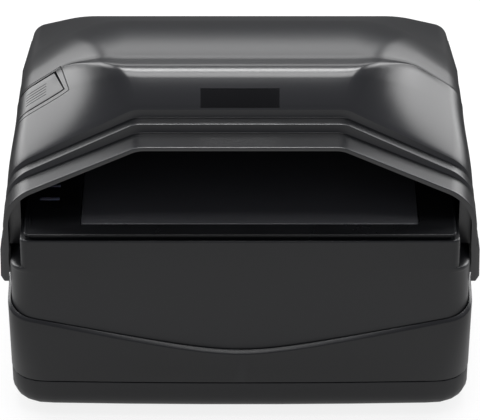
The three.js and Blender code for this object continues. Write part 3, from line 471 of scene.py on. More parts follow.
def make_lower_housing():
    bottom = PLATE_SEAM + SEAT_GAP
    lap_inner = inset(LAP, WALL)
    shell = loft("lower_skin", [
        level(OUTER, bottom),
        below_sweep(WAIST, SWEEP_CHAMFER),
        below_sweep(LAP, 0),
        below_sweep(LAP, LAP_DEPTH),
        below_sweep(lap_inner, LAP_DEPTH),
        below_sweep(lap_inner, LAP_DEPTH + WALL),
        below_sweep(inset(WAIST, WALL), LAP_DEPTH + WALL),
        level(inset(OUTER, WALL), bottom),
    ], ring=True)
    bevel(shell, LOWER_EDGE_RADIUS, 3, 30)
    low = PLATE_SEAM + BOSS_LIFT + SEAT_GAP
    high = low + BOSS_HEIGHT
    for side in (-1, 1):
        for end in (-1, 1):
            x, y = side * (BODY_SIDE - BOSS_INSET), end * (REAR_Y - BOSS_SETBACK)
            left, right = sorted((x, side * (BODY_SIDE - WALL / 2)))
            join(shell, rod("boss", 2, (x, y, low), BOSS_HEIGHT, BOSS_RADIUS, 32))
            join(shell, box("web", (left, y - WALL / 2, low), (right, y + WALL / 2, high)))
            cut(shell, rod("hole", 2, (x, y, 0), SCREW_HOLE_TOP, SCREW_HOLE_RADIUS, 32))
    socket_z = MAIN_BOARD_Z + BOARD_THICKNESS + SEAT_GAP
    socket_top = socket_z + SOCKET_HEIGHT + SEAT_GAP
    for x, width in SOCKETS:
        low = (x - width / 2 - SEAT_GAP, REAR_Y - WALL - 1, socket_z - SEAT_GAP)
        cut(shell, box("socket_hole", low, (x + width / 2 + SEAT_GAP, REAR_Y + 1, socket_top)))
    return shell


UPPER = inset(LAP, SEAT_GAP)
SHOULDER = dict(UPPER, side=UPPER_TOP_SIDE, nose=3.0)
UPPER_TOP = DECK_Z - FRAME_THICKNESS - SEAT_GAP


def make_upper_housing():
    bottom = LAP_DEPTH - SEAT_GAP
    flange_low = UPPER_TOP - FLANGE_THICKNESS
    loops = [below_sweep(UPPER, bottom)]
    steps = 10
    for i in range(steps + 1):
        share = i / steps
        plan = dict(
            UPPER,
            side=mix(UPPER["side"], SHOULDER["side"], 1 - math.cos(math.pi / 2 * share)),
            nose=mix(UPPER["nose"], SHOULDER["nose"], share),
        )
        loops.append(level(plan, SHOULDER_Z + SHOULDER_RISE * math.sin(math.pi / 2 * share)))
    for turn in range(0, 91, 15):
        plan = inset(SHOULDER, TOP_EDGE_RADIUS * (1 - cos(turn)))
        loops.append(level(plan, UPPER_TOP - TOP_EDGE_RADIUS * (1 - sin(turn))))
    loops += [
        level(inset(SHOULDER, WALL + FLANGE_WIDTH), UPPER_TOP),
        level(inset(SHOULDER, WALL + FLANGE_WIDTH), flange_low),
        level(inset(SHOULDER, WALL), flange_low),
        level(inset(SHOULDER, WALL), SHOULDER_Z + SHOULDER_RISE - WALL),
        level(inset(UPPER, WALL), SHOULDER_Z - WALL),
        below_sweep(inset(UPPER, WALL), bottom),
    ]
    shell = loft("upper_skin", loops, ring=True)
    hook_tip = -UPPER_TOP_SIDE - SEAT_GAP + HOOK_REACH
    half = LATCH_WIDTH / 2 + SEAT_GAP
    slot_end = (hook_tip + SEAT_GAP, LATCH_Y + half + HOOK_SLOT_EXTRA, UPPER_TOP + 1)
    cut(shell, box("slot", (-BODY_SIDE, LATCH_Y - half, HOOK_SLOT_LOW), slot_end))
    for side in (-1, 1):
        for end in (-1, 1):
            x = side * HINGE_X + end * HINGE_SCREW_SPREAD
            place = (x, REAR_Y - HINGE_SCREW_SETBACK, HINGE_SCREW_Z)
            cut(shell, rod("screw_hole", 1, place, HINGE_SCREW_HOLE_DEPTH, SCREW_HOLE_RADIUS, 32))
    return shell


def light_pipe_box(name, index, low, high, margin):
    x = mix(GLASS["centre_x"] - GLASS["side"], FRAME_INSET - UPPER_TOP_SIDE, LIGHT_PIPE_SHARE)
    y = LIGHT_PIPE_FRONT + index * LIGHT_PIPE_PITCH
    dx, dy = LIGHT_PIPE_LENGTH / 2, LIGHT_PIPE_WIDTH / 2
    return box(name, (x - dx - margin, y - dy - margin, low), (x + dx + margin, y + dy + margin, high))


def make_top_frame():
    plan = dict(
        side=UPPER_TOP_SIDE - FRAME_INSET,
        front=UPPER["front"] + FRAME_SETBACK,
        rear=UPPER["rear"] - FRAME_INSET,
        bow=0.0,
        nose=FRAME_CORNER_RADIUS,
        tail=FRAME_CORNER_RADIUS,
    )
    bottom = UPPER_TOP + SEAT_GAP
    hole = inset(GLASS, -SEAT_GAP)
    plate = loft("frame_skin", [
        level(inset(plan, FRAME_UNDERCUT), bottom),
        level(inset(plan, FRAME_UNDERCUT), FRAME_UNDERCUT_TOP),
        level(plan, FRAME_LIP_LOW),
        level(plan, DECK_Z + BEAD_HEIGHT / 2),
        level(inset(plan, BEAD_HEIGHT / 2), DECK_Z + BEAD_HEIGHT),
        level(inset(plan, BEAD_WIDTH), DECK_Z + BEAD_HEIGHT),
        level(inset(plan, BEAD_WIDTH), DECK_Z),
        level(inset(hole, -WINDOW_CHAMFER), DECK_Z),
        level(hole, DECK_Z - WINDOW_CHAMFER),
        level(hole, bottom),
    ], ring=True)
    bevel(plate, FRAME_EDGE_RADIUS, 2, 30)
    left = SCOOP_INSET - plan["side"]
    front = plan["front"] + SCOOP_INSET + SCOOP_SETBACK
    loops = []
    steps = 24
    for i in range(steps + 1):
        share = i / steps
        low = DECK_Z - SCOOP_DEPTH * (1 - share ** SCOOP_CURVE) - (0 if i == steps else 0.02)
        right, y = left + SCOOP_WIDTH, front + SCOOP_RUN * share
        loops.append([(left, y, DECK_Z + 1), (right, y, DECK_Z + 1), (right, y, low), (left, y, low)])
    cut(plate, loft("scoop", loops))
    for index in (0, 1):
        cut(plate, light_pipe_box("pipe_slot", index, bottom - 1, DECK_Z + 1, SEAT_GAP))
    return plate


# Hood form
def hood_stations(plain=False):
    """Stations from the rim to the rear wall. Each is a dictionary: its place y, the top's height, the
    cross-section's shape, how the wall is offset, the blend between top and shoulder, how far the shoulders
    lie behind the middle, and the rounding of the rim's lip and of the rear edge. The plain stations leave
    out the small roundings, for forms that lie well inside."""
    stations = []

    def push(y, top, shape, inward, downward, blend=RIB_BLEND, sweep=0.0, rounding=0.0, lip=0.0):
        stations.append(dict(
            y=y, top=top, shape=shape, inward=inward, downward=downward,
            blend=blend, sweep=sweep, rounding=rounding, lip=lip,
        ))

    # The rim, whose front edge is rounded, and two treads with rounded risers behind them
    edge = RIM_EDGE_RADIUS
    first_riser = RIM_Y + TREAD_THREE
    second_riser = first_riser + RISER_DRAFT + TREAD_TWO
    rib_y = second_riser + RISER_DRAFT
    shapes = [mix3(RIM_SHAPE, RIB_SHAPE, share) for share in (0.0, 0.5, 1.0)]
    thin = RIM_THICKNESS / HOOD_WALL
    for turn in (0,) if plain else (0, 30, 60, 90):
        lip = 0.0 if plain else edge * (1 - sin(turn))
        push(RIM_Y + edge * (1 - cos(turn)), RIM_TOP, shapes[0], 0, thin, lip=lip)
    for share in (0.35, 0.7) if plain else (0.09, 0.35, 0.7, 0.92):
        push(mix(RIM_Y, first_riser, share), RIM_TOP, shapes[0], share, mix(thin, 1, share))
    for riser_y, number in ((first_riser, 0), (second_riser, 1)):
        low = RIM_TOP + number * RISER_HEIGHT
        before, after = shapes[number], shapes[number + 1]
        if plain:
            push(riser_y, low, before, 1, 1)
            top_offset = RIB_TOP_OFFSET if number == 1 else (1, 1)
            push(riser_y + RISER_DRAFT, low + RISER_HEIGHT, after, *top_offset)
            continue
        for turn in (0, 45, 90):
            rise = RISER_FILLET * (1 - cos(turn))
            y = riser_y - RISER_FILLET * (1 - sin(turn))
            push(y, low + rise, mix3(before, after, rise / RISER_HEIGHT), 1, 1)
        for turn in (0, 30, 60, 90):
            if number == 1 and turn == 90:
                continue
            rise = RISER_HEIGHT - edge * (1 - sin(turn))
            y = riser_y + RISER_DRAFT + edge * (1 - cos(turn))
            push(y, low + rise, mix3(before, after, rise / RISER_HEIGHT), 1, 1)
        if number == 0:
            for share in (0.34, 0.86):
                push(mix(riser_y, second_riser, share), low + RISER_HEIGHT, after, 1, 1)

    # The bevel, which runs on further back at the shoulders
    rib_top = RIM_TOP + 2 * RISER_HEIGHT
    radius = BEVEL_LENGTH / math.radians(BEVEL_STEEP - BEVEL_GENTLE)

    def bevel_point(slope):
        return (
            rib_y + radius * (sin(BEVEL_STEEP) - sin(slope)),
            rib_top + radius * (cos(slope) - cos(BEVEL_STEEP)),
        )

    crest_y, crest_top = bevel_point(BEVEL_GENTLE)
    round_y, round_top = bevel_point(CREST_ROUND)

    def push_bevel(y, top, inward, downward):
        share = (y - rib_y) / (crest_y - rib_y)
        flat, corner, _ = mix3(RIB_SHAPE, CREST_SHAPE, share)
        side = mix(RIB_SHAPE[2], CREST_SHAPE[2], smooth(0, 1, share))
        blend = mix(RIB_BLEND, CREST_BLEND, share)
        push(y, top, (flat, corner, side), inward, downward, blend, CREASE_RUN * share)

    for i in range(1, BEVEL_STEPS):
        slope = mix(BEVEL_STEEP, BEVEL_GENTLE, i / BEVEL_STEPS)
        y, top = bevel_point(slope)
        if y > round_y - CREST_ROUND_MARGIN and not plain:
            break
        push_bevel(y, top, sin(slope), cos(slope))

    # The crest's rounded edge, the terrace behind it and the roof
    roof_start = crest_y + BROW_DEPTH

    def roof_point(slope):
        return (
            roof_start + ROOF_RADIUS * (sin(slope) - sin(ROOF_START_SLOPE)),
            crest_top - BROW_DROP - ROOF_RADIUS * (cos(ROOF_START_SLOPE) - cos(slope)),
        )

    slope_y, slope_top = roof_point(ROOF_END_SLOPE)

    def push_roof(y, top, inward, downward, drop=0.0, rounding=0.0):
        share = (y - crest_y) / (REAR_Y - crest_y)
        flat, _, side = mix3(CREST_SHAPE, REAR_SHAPE, max(share, 0.0))
        fall = max(0.0, (y - crest_y - CREASE_RUN) / (REAR_Y - crest_y - CREASE_RUN)) ** CORNER_FALL_CURVE
        corner = mix(CREST_SHAPE[1], REAR_SHAPE[1], fall) - drop
        if y < roof_start:
            sweep = CREASE_RUN - CREASE_RETURN * max(y - crest_y, 0.0)
        else:
            run = (y - roof_start) / (slope_y - roof_start)
            sweep = (CREASE_RUN - CREASE_RETURN * BROW_DEPTH) * max(0.0, 1 - run) ** CREASE_RETURN_CURVE
        shape = (flat - rounding, corner, side - rounding)
        blend = mix(CREST_BLEND, REAR_BLEND, smooth(0, 0.5, share))
        push(y, top, shape, inward, downward, blend, sweep, rounding)

    if plain:
        push_roof(crest_y, crest_top, *CREST_FRONT_OFFSET)
        push_roof(roof_start, crest_top - BROW_DROP, 0, 1)
    reach = crest_y - round_y
    crest = (crest_y, crest_top)
    before = (round_y, round_top)
    after = (crest_y + reach, crest_top - BROW_DROP * reach / BROW_DEPTH)
    for share in () if plain else (0.0, 0.12, 0.25, 0.37, 0.5, 0.63, 0.75, 0.88, 1.0):
        y, top = mix3(mix3(before, crest, share), mix3(crest, after, share), share)
        if share < 0.5:
            push_bevel(y, top, *CREST_FRONT_OFFSET)
        else:
            push_roof(y, top, *CREST_REAR_OFFSET)
    for share in () if plain else (0.45, 0.6, 0.8, 1.0):
        push_roof(mix(crest_y, roof_start, share), crest_top - BROW_DROP * share, 0, 1)
    for i in range(1, ROOF_STEPS + 1):
        slope = mix(ROOF_START_SLOPE, ROOF_END_SLOPE, i / ROOF_STEPS)
        y, top = roof_point(slope)
        push_roof(y, top, -sin(slope), cos(slope))
    edge_y = REAR_Y - REAR_EDGE_RADIUS * (1 - sin(ROOF_END_SLOPE))
    edge_top = slope_top - (edge_y - slope_y) * math.tan(math.radians(ROOF_END_SLOPE))
    for i in range(1, SLOPE_STEPS):
        y = mix(slope_y, edge_y, i / SLOPE_STEPS)
        top = mix(slope_top, edge_top, i / SLOPE_STEPS)
        push_roof(y, top, -sin(ROOF_END_SLOPE), cos(ROOF_END_SLOPE))
    for i in range(REAR_EDGE_STEPS + 1):
        slope = mix(ROOF_END_SLOPE, 90, i / REAR_EDGE_STEPS)
        y = REAR_Y - REAR_EDGE_RADIUS * (1 - sin(slope))
        drop = REAR_EDGE_RADIUS * (cos(ROOF_END_SLOPE) - cos(slope))
        rounding = REAR_EDGE_RADIUS * (1 - cos(slope)) * smooth(0, 1, i / REAR_EDGE_STEPS)
        push_roof(y, edge_top - drop, -sin(slope), cos(slope), drop, rounding)
    return stations


def fillet(before, corner, after, radius, steps):
    """Points of an arc that rounds the corner of a line through three points."""
    c = Vector(corner)
    v1 = (Vector(before) - c).normalized()
    v2 = (Vector(after) - c).normalized()
    half = math.acos(max(-1.0, min(1.0, v1.dot(v2)))) / 2
    centre = c + (v1 + v2).normalized() * (radius / math.sin(half))
    reach = radius / math.tan(half)
    start, end = c + v1 * reach - centre, c + v2 * reach - centre
    a, b = math.atan2(start.y, start.x), math.atan2(end.y, end.x)
    turns = [mix(a, b, i / steps) for i in range(steps + 1)]
    return [(centre.x + radius * math.cos(turn), centre.y + radius * math.sin(turn)) for turn in turns]


def spread(a, b, steps):
    """Points between two points, without the points themselves."""
    return [(mix(a[0], b[0], i / steps), mix(a[1], b[1], i / steps)) for i in range(1, steps)]


def hood_loop(station, offset, cavity=False):
    """The hood's outline at one station, from the right skirt's lower edge over the top to the left one's."""
    flat, corner, side = station["shape"]
    top, rounding = station["top"], station["rounding"]
    lip = station["lip"] if offset == 0 else 0.0
    top, corner, side = top - lip, corner - lip, side - lip
    lean = math.atan2(top - corner, side - flat)
    z = top - offset * station["downward"]
    side_x = side - offset
    corner_z = corner + offset * (math.tan(lean) - 1 / math.cos(lean))
    flat_x = flat - offset * math.tan(lean / 2)
    side_y = station["y"] + station["sweep"]
    share = min(max((side_y - RIM_Y) / (REAR_Y - RIM_Y), 0.0), 1.0)
    flare = smooth(RIM_Y, RIM_Y + SKIRT_FLARE_DEPTH, station["y"])
    ledge_z = mix(LEDGE_FRONT, LEDGE_REAR, share) - rounding
    taper = SKIRT_TAPER * smooth(0, SKIRT_TAPER_END, side_y)
    skirt_x = mix(RIM_SKIRT_SIDE, SKIRT_SIDE, flare) - taper - offset - rounding - lip
    ledge_x = side_x + LEDGE_DRAFT
    low_x = ledge_x + LEDGE_WIDTH * flare
    front_radius = mix(RIM_CORNER_RADIUS, CREST_CORNER_RADIUS, smooth(0, 0.25, share))
    radius = mix(front_radius, REAR_CORNER_RADIUS, smooth(0.3, 1, share)) - offset
    skirt = (skirt_x, SKIRT_Z)
    knee_x = UPPER["side"] + HOOD_WALL + SKIRT_CLEARANCE - offset - rounding - lip
    knee = (max(mix(low_x, skirt_x, SKIRT_KNEE_SHARE), knee_x), SKIRT_KNEE)
    ledge_low = (low_x, ledge_z - LEDGE_WIDTH)
    ledge_high = (ledge_x, ledge_z)
    shoulder = fillet(ledge_high, (side_x, corner_z), (flat_x, z), radius, 16)
    crown = fillet((side_x, corner_z), (flat_x, z), (0, z), station["blend"], 10)
    half = [(skirt_x, SKIRT_Z - CAVITY_OVERRUN)] if cavity else []
    half += [skirt, *spread(skirt, knee, 3), knee, *spread(knee, ledge_low, 3), ledge_low, ledge_high]
    half += [*spread(ledge_high, shoulder[0], 6), *shoulder, *spread(shoulder[-1], crown[0], 8)]
    half += [*crown, *spread(crown[-1], (0, z), 10)]
    place = station["y"] + offset * station["inward"]

    def back(x):
        return place + station["sweep"] * smooth(flat - CREASE_LEAD, CREASE_END, x)

    right = [(x, back(x), height) for x, height in half]
    left = [(-x, back(x), height) for x, height in reversed(half)]
    return [*right, (0, place, z), *left]


def hood_form(name, offset, cavity=False):
    """The hood's form as a solid, moved in by an offset. The cavity's form runs out in front and below."""
    loops = [hood_loop(station, offset, cavity) for station in hood_stations(plain=offset > 1)]
    if cavity:
        loops.insert(0, [(x, y - 2 * CAVITY_OVERRUN, z) for x, y, z in loops[0]])
    return loft(name, loops)


def tab_prism(name, margin, low, end_margin=None):
    """A prism over the press tab's outline in plan, grown by a margin."""
    reach = (TAB_REAR - TAB_FRONT) / 2 * math.tan(math.radians(TAB_SKEW))
    end = TAB_END + (margin if end_margin is None else end_margin)
    corners = [
        (OUTSIDE_X, TAB_FRONT - margin),
        (end + reach, TAB_FRONT - margin),
        (end - reach, TAB_REAR + margin),
        (OUTSIDE_X, TAB_REAR + margin),
    ]
    return loft(name, [[(x, y, z) for x, y in corners] for z in (low, low + PRISM_HEIGHT)])


def label_prism(name, margin):
    half = LABEL_WIDTH / 2 + margin
    high = (half, RIM_Y + LABEL_REACH, LABEL_HIGH + margin)
    return box(name, (-half, RIM_Y, LABEL_LOW - margin), high)


def make_hood():
    """The hood in one shell: leg ribs, label pocket, tab opening, ears for the latch and hinge knuckles."""
    hood = cut(hood_form("hood_skin", 0.0), hood_form("cavity", HOOD_WALL, cavity=True))
    cut(hood, tab_prism("opening", TAB_CLEARANCE, OPENING_LOW))
    groove = tab_prism("groove", GROOVE_OUTER, GROOVE_LOW)
    cut(groove, tab_prism("inner", GROOVE_INNER, GROOVE_LOW - 1), hood_form("groove_floor", GROOVE_DEPTH))
    cut(hood, groove)
    cut(hood, cut(label_prism("pocket", 0.0), hood_form("pocket_floor", LABEL_RECESS)))
    half = LATCH_WIDTH / 2 + SEAT_GAP
    room_end = (LATCH_X, LATCH_Y + half, SWING_ROOM_TOP)
    cut(hood, box("swing_room", (SWING_ROOM_SIDE, LATCH_Y - half, SWING_ROOM_LOW), room_end))
    shoulder_top = SHOULDER_Z + SHOULDER_RISE
    rib_y = RIM_Y + LEG_RIB_SETBACK
    for side in (-1, 1):
        blocks = []
        for inner, low, high in (
            (UPPER["side"] + LEG_RIB_CLEARANCE, SKIRT_Z, shoulder_top + 1),
            (UPPER_TOP_SIDE + LEG_RIB_CLEARANCE, shoulder_top + LEG_RIB_CLEARANCE, RIM_TOP),
        ):
            ends = sorted((side * inner, side * (SKIRT_SIDE + 1)))
            blocks.append(box("rib", (ends[0], rib_y, low), (ends[1], rib_y + LEG_RIB_THICKNESS, high)))
        rib = join(*blocks)
        boolean(rib, hood_form("rib_form", HOOD_WALL / 2), "INTERSECT")
        join(hood, rib)
    for end in (-1, 1):
        low, high = sorted((LATCH_Y + end * half, LATCH_Y + end * (half + WALL)))
        arm = box("ear_arm", (EAR_ARM_SIDE, low, EAR_ARM_LOW), (LATCH_X + EAR_HALF, high, EAR_ARM_TOP))
        eye = box("ear", (LATCH_X - EAR_HALF, low, EAR_LOW), (LATCH_X + EAR_HALF, high, EAR_TOP))
        join(hood, join(arm, eye))
    for side in (-1, 1):
        start = side * HINGE_X - KNUCKLE_LENGTH / 2
        web_low = (start, HINGE[0], HINGE[1] - KNUCKLE_RADIUS)
        web = box("web", web_low, (start + KNUCKLE_LENGTH, REAR_Y - HOOD_WALL / 2, HINGE[1] + KNUCKLE_RADIUS))
        join(hood, web, rod("knuckle", 0, (start, *HINGE), KNUCKLE_LENGTH, KNUCKLE_RADIUS, 48))
        hole_start = (side * HINGE_X - PIN_HOLE_LENGTH / 2, *HINGE)
        cut(hood, rod("pin_hole", 0, hole_start, PIN_HOLE_LENGTH, PIN_HOLE, 32))
    hole_start = (LATCH_X, LATCH_Y - LATCH_PIN_HOLE_LENGTH / 2, LATCH_Z)
    cut(hood, rod("latch_hole", 1, hole_start, LATCH_PIN_HOLE_LENGTH, LATCH_PIN_HOLE, 32))
    return hood


def make_tab():
    """The press tab: a piece of the hood's own form with grip lines, a flange under its edges and a stem."""
    tab = cut(hood_form("tab_skin", 0.0), hood_form("tab_under", HOOD_WALL + SEAT_GAP))
    boolean(tab, tab_prism("tab_outline", 0.0, TAB_BOTTOM), "INTERSECT")
    bevel(tab, TAB_EDGE_RADIUS, 3, 50)
    lines = []
    for place in GRIP_LINES:
        y = (TAB_FRONT + TAB_REAR) / 2 + place
        front, rear = y - GRIP_WIDTH / 2, y + GRIP_WIDTH / 2
        lines.append(box("line", (GRIP_START, front, GROOVE_LOW), (GRIP_END, rear, GRIP_TOP)))
    grip = together("grip", lines)
    cut(tab, cut(grip, hood_form("grip_floor", GRIP_DEPTH)))
    depth = HOOD_WALL + SEAT_GAP
    flange = hood_form("flange", depth - TAB_FLANGE_LAP)
    cut(flange, hood_form("flange_under", depth + TAB_FLANGE_THICKNESS))
    boolean(flange, tab_prism("flange_outline", TAB_FLANGE, TAB_FLANGE_LOW, 0.0), "INTERSECT")
    outer = LATCH_X - LEVER_THICKNESS - SEAT_GAP
    half = STEM_WIDTH / 2
    stem = box("stem", (outer - STEM_LENGTH, LATCH_Y - half, STEM_LOW), (outer, LATCH_Y + half, STEM_HIGH))
    return join(tab, flange, stem)


def make_label():
    """The bare label plate, bent to the bevel and set in its pocket."""
    outer = LABEL_RECESS - SEAT_GAP - LABEL_THICKNESS
    plate = cut(hood_form("label_skin", outer), hood_form("label_under", LABEL_RECESS - SEAT_GAP))
    boolean(plate, label_prism("label_outline", -LABEL_CLEARANCE), "INTERSECT")
    return bevel(plate, LABEL_EDGE_RADIUS, 2, 50)


# Materials
def material(name):
    made = bpy.data.materials.new(name)
    made.use_nodes = True
    made.node_tree.nodes.clear()
    return made, made.node_tree.nodes, made.node_tree.links


def surface(nodes, links):
    """A principled shader joined to the output, and the object's coordinates."""
    shader = nodes.new("ShaderNodeBsdfPrincipled")
    output = nodes.new("ShaderNodeOutputMaterial")
    links.new(shader.outputs["BSDF"], output.inputs["Surface"])
    return shader, nodes.new("ShaderNodeTexCoord").outputs["Object"]


def stretched(nodes, links, where, scale):
    mapping = nodes.new("ShaderNodeMapping")
    mapping.inputs["Scale"].default_value = scale
    links.new(where, mapping.inputs["Vector"])
    return mapping.outputs["Vector"]


def noise(nodes, links, where, scale, detail=3.0):
    texture = nodes.new("ShaderNodeTexNoise")
    texture.inputs["Scale"].default_value = scale
    texture.inputs["Detail"].default_value = detail
    links.new(where, texture.inputs["Vector"])
    return texture.outputs["Fac"]


def ramp(nodes, links, source, stops):
    made = nodes.new("ShaderNodeValToRGB")
    elements = made.color_ramp.elements
    while len(elements) < len(stops):
        elements.new(0.5)
    for element, (position, color) in zip(elements, stops):
        element.position = position
        element.color = (*color, 1.0)
    links.new(source, made.inputs["Fac"])
    return made.outputs["Color"]


def remap(nodes, links, source, low, high):
    made = nodes.new("ShaderNodeMapRange")
    made.inputs["To Min"].default_value = low
    made.inputs["To Max"].default_value = high
    links.new(source, made.inputs["Value"])
    return made.outputs["Result"]


def blend_colors(nodes, links, factor, a, b):
    made = nodes.new("ShaderNodeMix")
    made.data_type = "RGBA"
    links.new(factor, made.inputs["Factor"])
    for socket, value in ((made.inputs[6], a), (made.inputs[7], b)):
        if isinstance(value, tuple):
            socket.default_value = (*value, 1.0)
        else:
            links.new(value, socket)
    return made.outputs[2]


def roughen(nodes, links, shader, height, strength, distance_mm):
    bump = nodes.new("ShaderNodeBump")
    bump.inputs["Strength"].default_value = strength
    bump.inputs["Distance"].default_value = distance_mm * MM
    links.new(height, bump.inputs["Height"])
    links.new(bump.outputs["Normal"], shader.inputs["Normal"])


def moulded(name, color, roughness, grain=0.35, depth=0.02, specular=0.5, variation=0.12, sheen=0.0):
    """Moulded plastic: a spark-eroded grain in the surface, faint cloudiness and edges painted paler as a
    highlight.
    The sheen is a weak satin coat, whose gloss rises little at grazing angles, as on a textured surface."""
    made, nodes, links = material(name)
    shader, where = surface(nodes, links)
    shader.inputs["Specular IOR Level"].default_value = specular
    shader.inputs["Coat Weight"].default_value = sheen
    shader.inputs["Coat IOR"].default_value = 4.0
    shader.inputs["Coat Roughness"].default_value = roughness
    dark = tuple(c * (1 - variation) for c in color)
    pale = tuple(c * (1 + variation) for c in color)
    base = ramp(nodes, links, noise(nodes, links, where, 45.0, 4.0), [(0.35, dark), (0.65, pale)])
    # Where the surface is sharp, its colour is painted paler: a painted highlight on the edges.
    pointed = nodes.new("ShaderNodeNewGeometry").outputs["Pointiness"]
    edge_highlight_mask = ramp(nodes, links, pointed, [(0.52, (0, 0, 0)), (0.60, (1, 1, 1))])
    edge = tuple(min(c * 1.8 + 0.004, 1.0) for c in color)
    links.new(blend_colors(nodes, links, edge_highlight_mask, base, edge), shader.inputs["Base Color"])
    patches = noise(nodes, links, where, 22.0, 5.0)
    links.new(remap(nodes, links, patches, roughness - 0.05, roughness + 0.05), shader.inputs["Roughness"])
    roughen(nodes, links, shader, noise(nodes, links, where, 1000.0 / grain, 2.0), 0.35, depth)
    return made


def metal(name, color, roughness, brushing):
    """Metal with fine brushing along one axis and faint stains."""
    made, nodes, links = material(name)
    shader, where = surface(nodes, links)
    shader.inputs["Metallic"].default_value = 1.0
    stains = noise(nodes, links, where, 60.0, 5.0)
    dull = tuple(c * 0.78 for c in color)
    links.new(ramp(nodes, links, stains, [(0.3, dull), (0.7, color)]), shader.inputs["Base Color"])
    lines = noise(nodes, links, stretched(nodes, links, where, brushing), 900.0, 3.0)
    links.new(remap(nodes, links, lines, roughness - 0.08, roughness + 0.12), shader.inputs["Roughness"])
    roughen(nodes, links, shader, lines, 0.2, 0.01)
    return made


def circuit(name):
    """Green solder mask over copper tracks, with tinned pads in rows."""
    made, nodes, links = material(name)
    shader, where = surface(nodes, links)
    tracks = nodes.new("ShaderNodeTexBrick")
    tracks.inputs["Scale"].default_value = 160.0
    tracks.inputs["Mortar Size"].default_value = 0.06
    tracks.inputs["Color1"].default_value = (0.012, 0.085, 0.040, 1)
    tracks.inputs["Color2"].default_value = (0.010, 0.070, 0.034, 1)
    tracks.inputs["Mortar"].default_value = (0.030, 0.150, 0.075, 1)
    links.new(where, tracks.inputs["Vector"])
    cells = nodes.new("ShaderNodeTexVoronoi")
    cells.inputs["Scale"].default_value = 260.0
    cells.inputs["Randomness"].default_value = 0.25
    links.new(where, cells.inputs["Vector"])
    pads = ramp(nodes, links, cells.outputs["Distance"], [(0.12, (1, 1, 1)), (0.15, (0, 0, 0))])
    color = blend_colors(nodes, links, pads, tracks.outputs["Color"], (0.62, 0.60, 0.55))
    links.new(color, shader.inputs["Base Color"])
    links.new(pads, shader.inputs["Metallic"])
    shader.inputs["Roughness"].default_value = 0.35
    roughen(nodes, links, shader, tracks.outputs["Fac"], 0.4, 0.035)
    return made


def rubber_like(name, color):
    made, nodes, links = material(name)
    shader, where = surface(nodes, links)
    shader.inputs["Specular IOR Level"].default_value = 0.3
    dust = noise(nodes, links, where, 130.0, 6.0)
    pale = tuple(c * 1.9 for c in color)
    links.new(ramp(nodes, links, dust, [(0.45, color), (0.75, pale)]), shader.inputs["Base Color"])
    links.new(remap(nodes, links, dust, 0.72, 0.92), shader.inputs["Roughness"])
    roughen(nodes, links, shader, noise(nodes, links, where, 700.0, 2.0), 0.4, 0.04)
    return made


def window_glass(name, color, clear):
    """Coated glass with a faint bloom and wiping marks in its gloss. How much it lets through is given."""
    made, nodes, links = material(name)
    shader, where = surface(nodes, links)
    shader.inputs["IOR"].default_value = 1.5
    shader.inputs["Transmission Weight"].default_value = clear
    bloom = noise(nodes, links, where, 14.0, 4.0)
    pale = tuple(c * 1.25 for c in color)
    links.new(ramp(nodes, links, bloom, [(0.3, color), (0.7, pale)]), shader.inputs["Base Color"])
    wipes = noise(nodes, links, stretched(nodes, links, where, (1.0, 12.0, 1.0)), 40.0, 5.0)
    links.new(remap(nodes, links, wipes, 0.05, 0.16), shader.inputs["Roughness"])
    return made


def light_guide(name):
    """Milky moulded light guide, unlit, with a little scatter inside."""
    made, nodes, links = material(name)
    shader, where = surface(nodes, links)
    shader.inputs["Subsurface Weight"].default_value = 0.3
    shader.inputs["Subsurface Scale"].default_value = 0.001
    milk = noise(nodes, links, where, 300.0, 4.0)
    color = ramp(nodes, links, milk, [(0.35, (0.19, 0.19, 0.27)), (0.7, (0.23, 0.23, 0.32))])
    links.new(color, shader.inputs["Base Color"])
    links.new(remap(nodes, links, milk, 0.2, 0.34), shader.inputs["Roughness"])
    return made


CASING = moulded("casing_plastic", (0.0060, 0.0063, 0.0074), 0.38, specular=0.6)
HOOD = moulded("hood_plastic", (0.0032, 0.0034, 0.0042), 0.30, specular=0.0, variation=0.08, sheen=0.22)
DECK = moulded("deck_plastic", (0.0085, 0.0087, 0.0095), 0.28, depth=0.008, specular=0.25)
LABEL = moulded("label_film", (0.0035, 0.0035, 0.004), 0.24, depth=0.004, specular=0.3)
CHAMBER = moulded("chamber_plastic", (0.004, 0.004, 0.0042), 0.75, grain=0.5, depth=0.05, specular=0.15)
COMPONENT = moulded("component_plastic", (0.014, 0.014, 0.015), 0.5, grain=0.25)
RUBBER = rubber_like("foot_rubber", (0.006, 0.006, 0.006))
GASKET = rubber_like("gasket_foam", (0.004, 0.004, 0.004))
STEEL = metal("zinc_steel", (0.56, 0.57, 0.59), 0.32, (1.0, 14.0, 14.0))
ALUMINIUM = metal("extruded_aluminium", (0.60, 0.61, 0.63), 0.38, (14.0, 1.0, 14.0))
CIRCUIT = circuit("solder_mask")
# The scan glass's colour is raised above its own tint to stand in for the hood's underside reflected in it, a
# painted reflection.
GLASS_LOOK = window_glass("coated_glass_painted_reflection", (0.062, 0.0622, 0.066), 0.1)
LENS_LOOK = window_glass("lens_glass", (0.75, 0.80, 0.90), 0.95)
GUIDE = light_guide("light_guide")

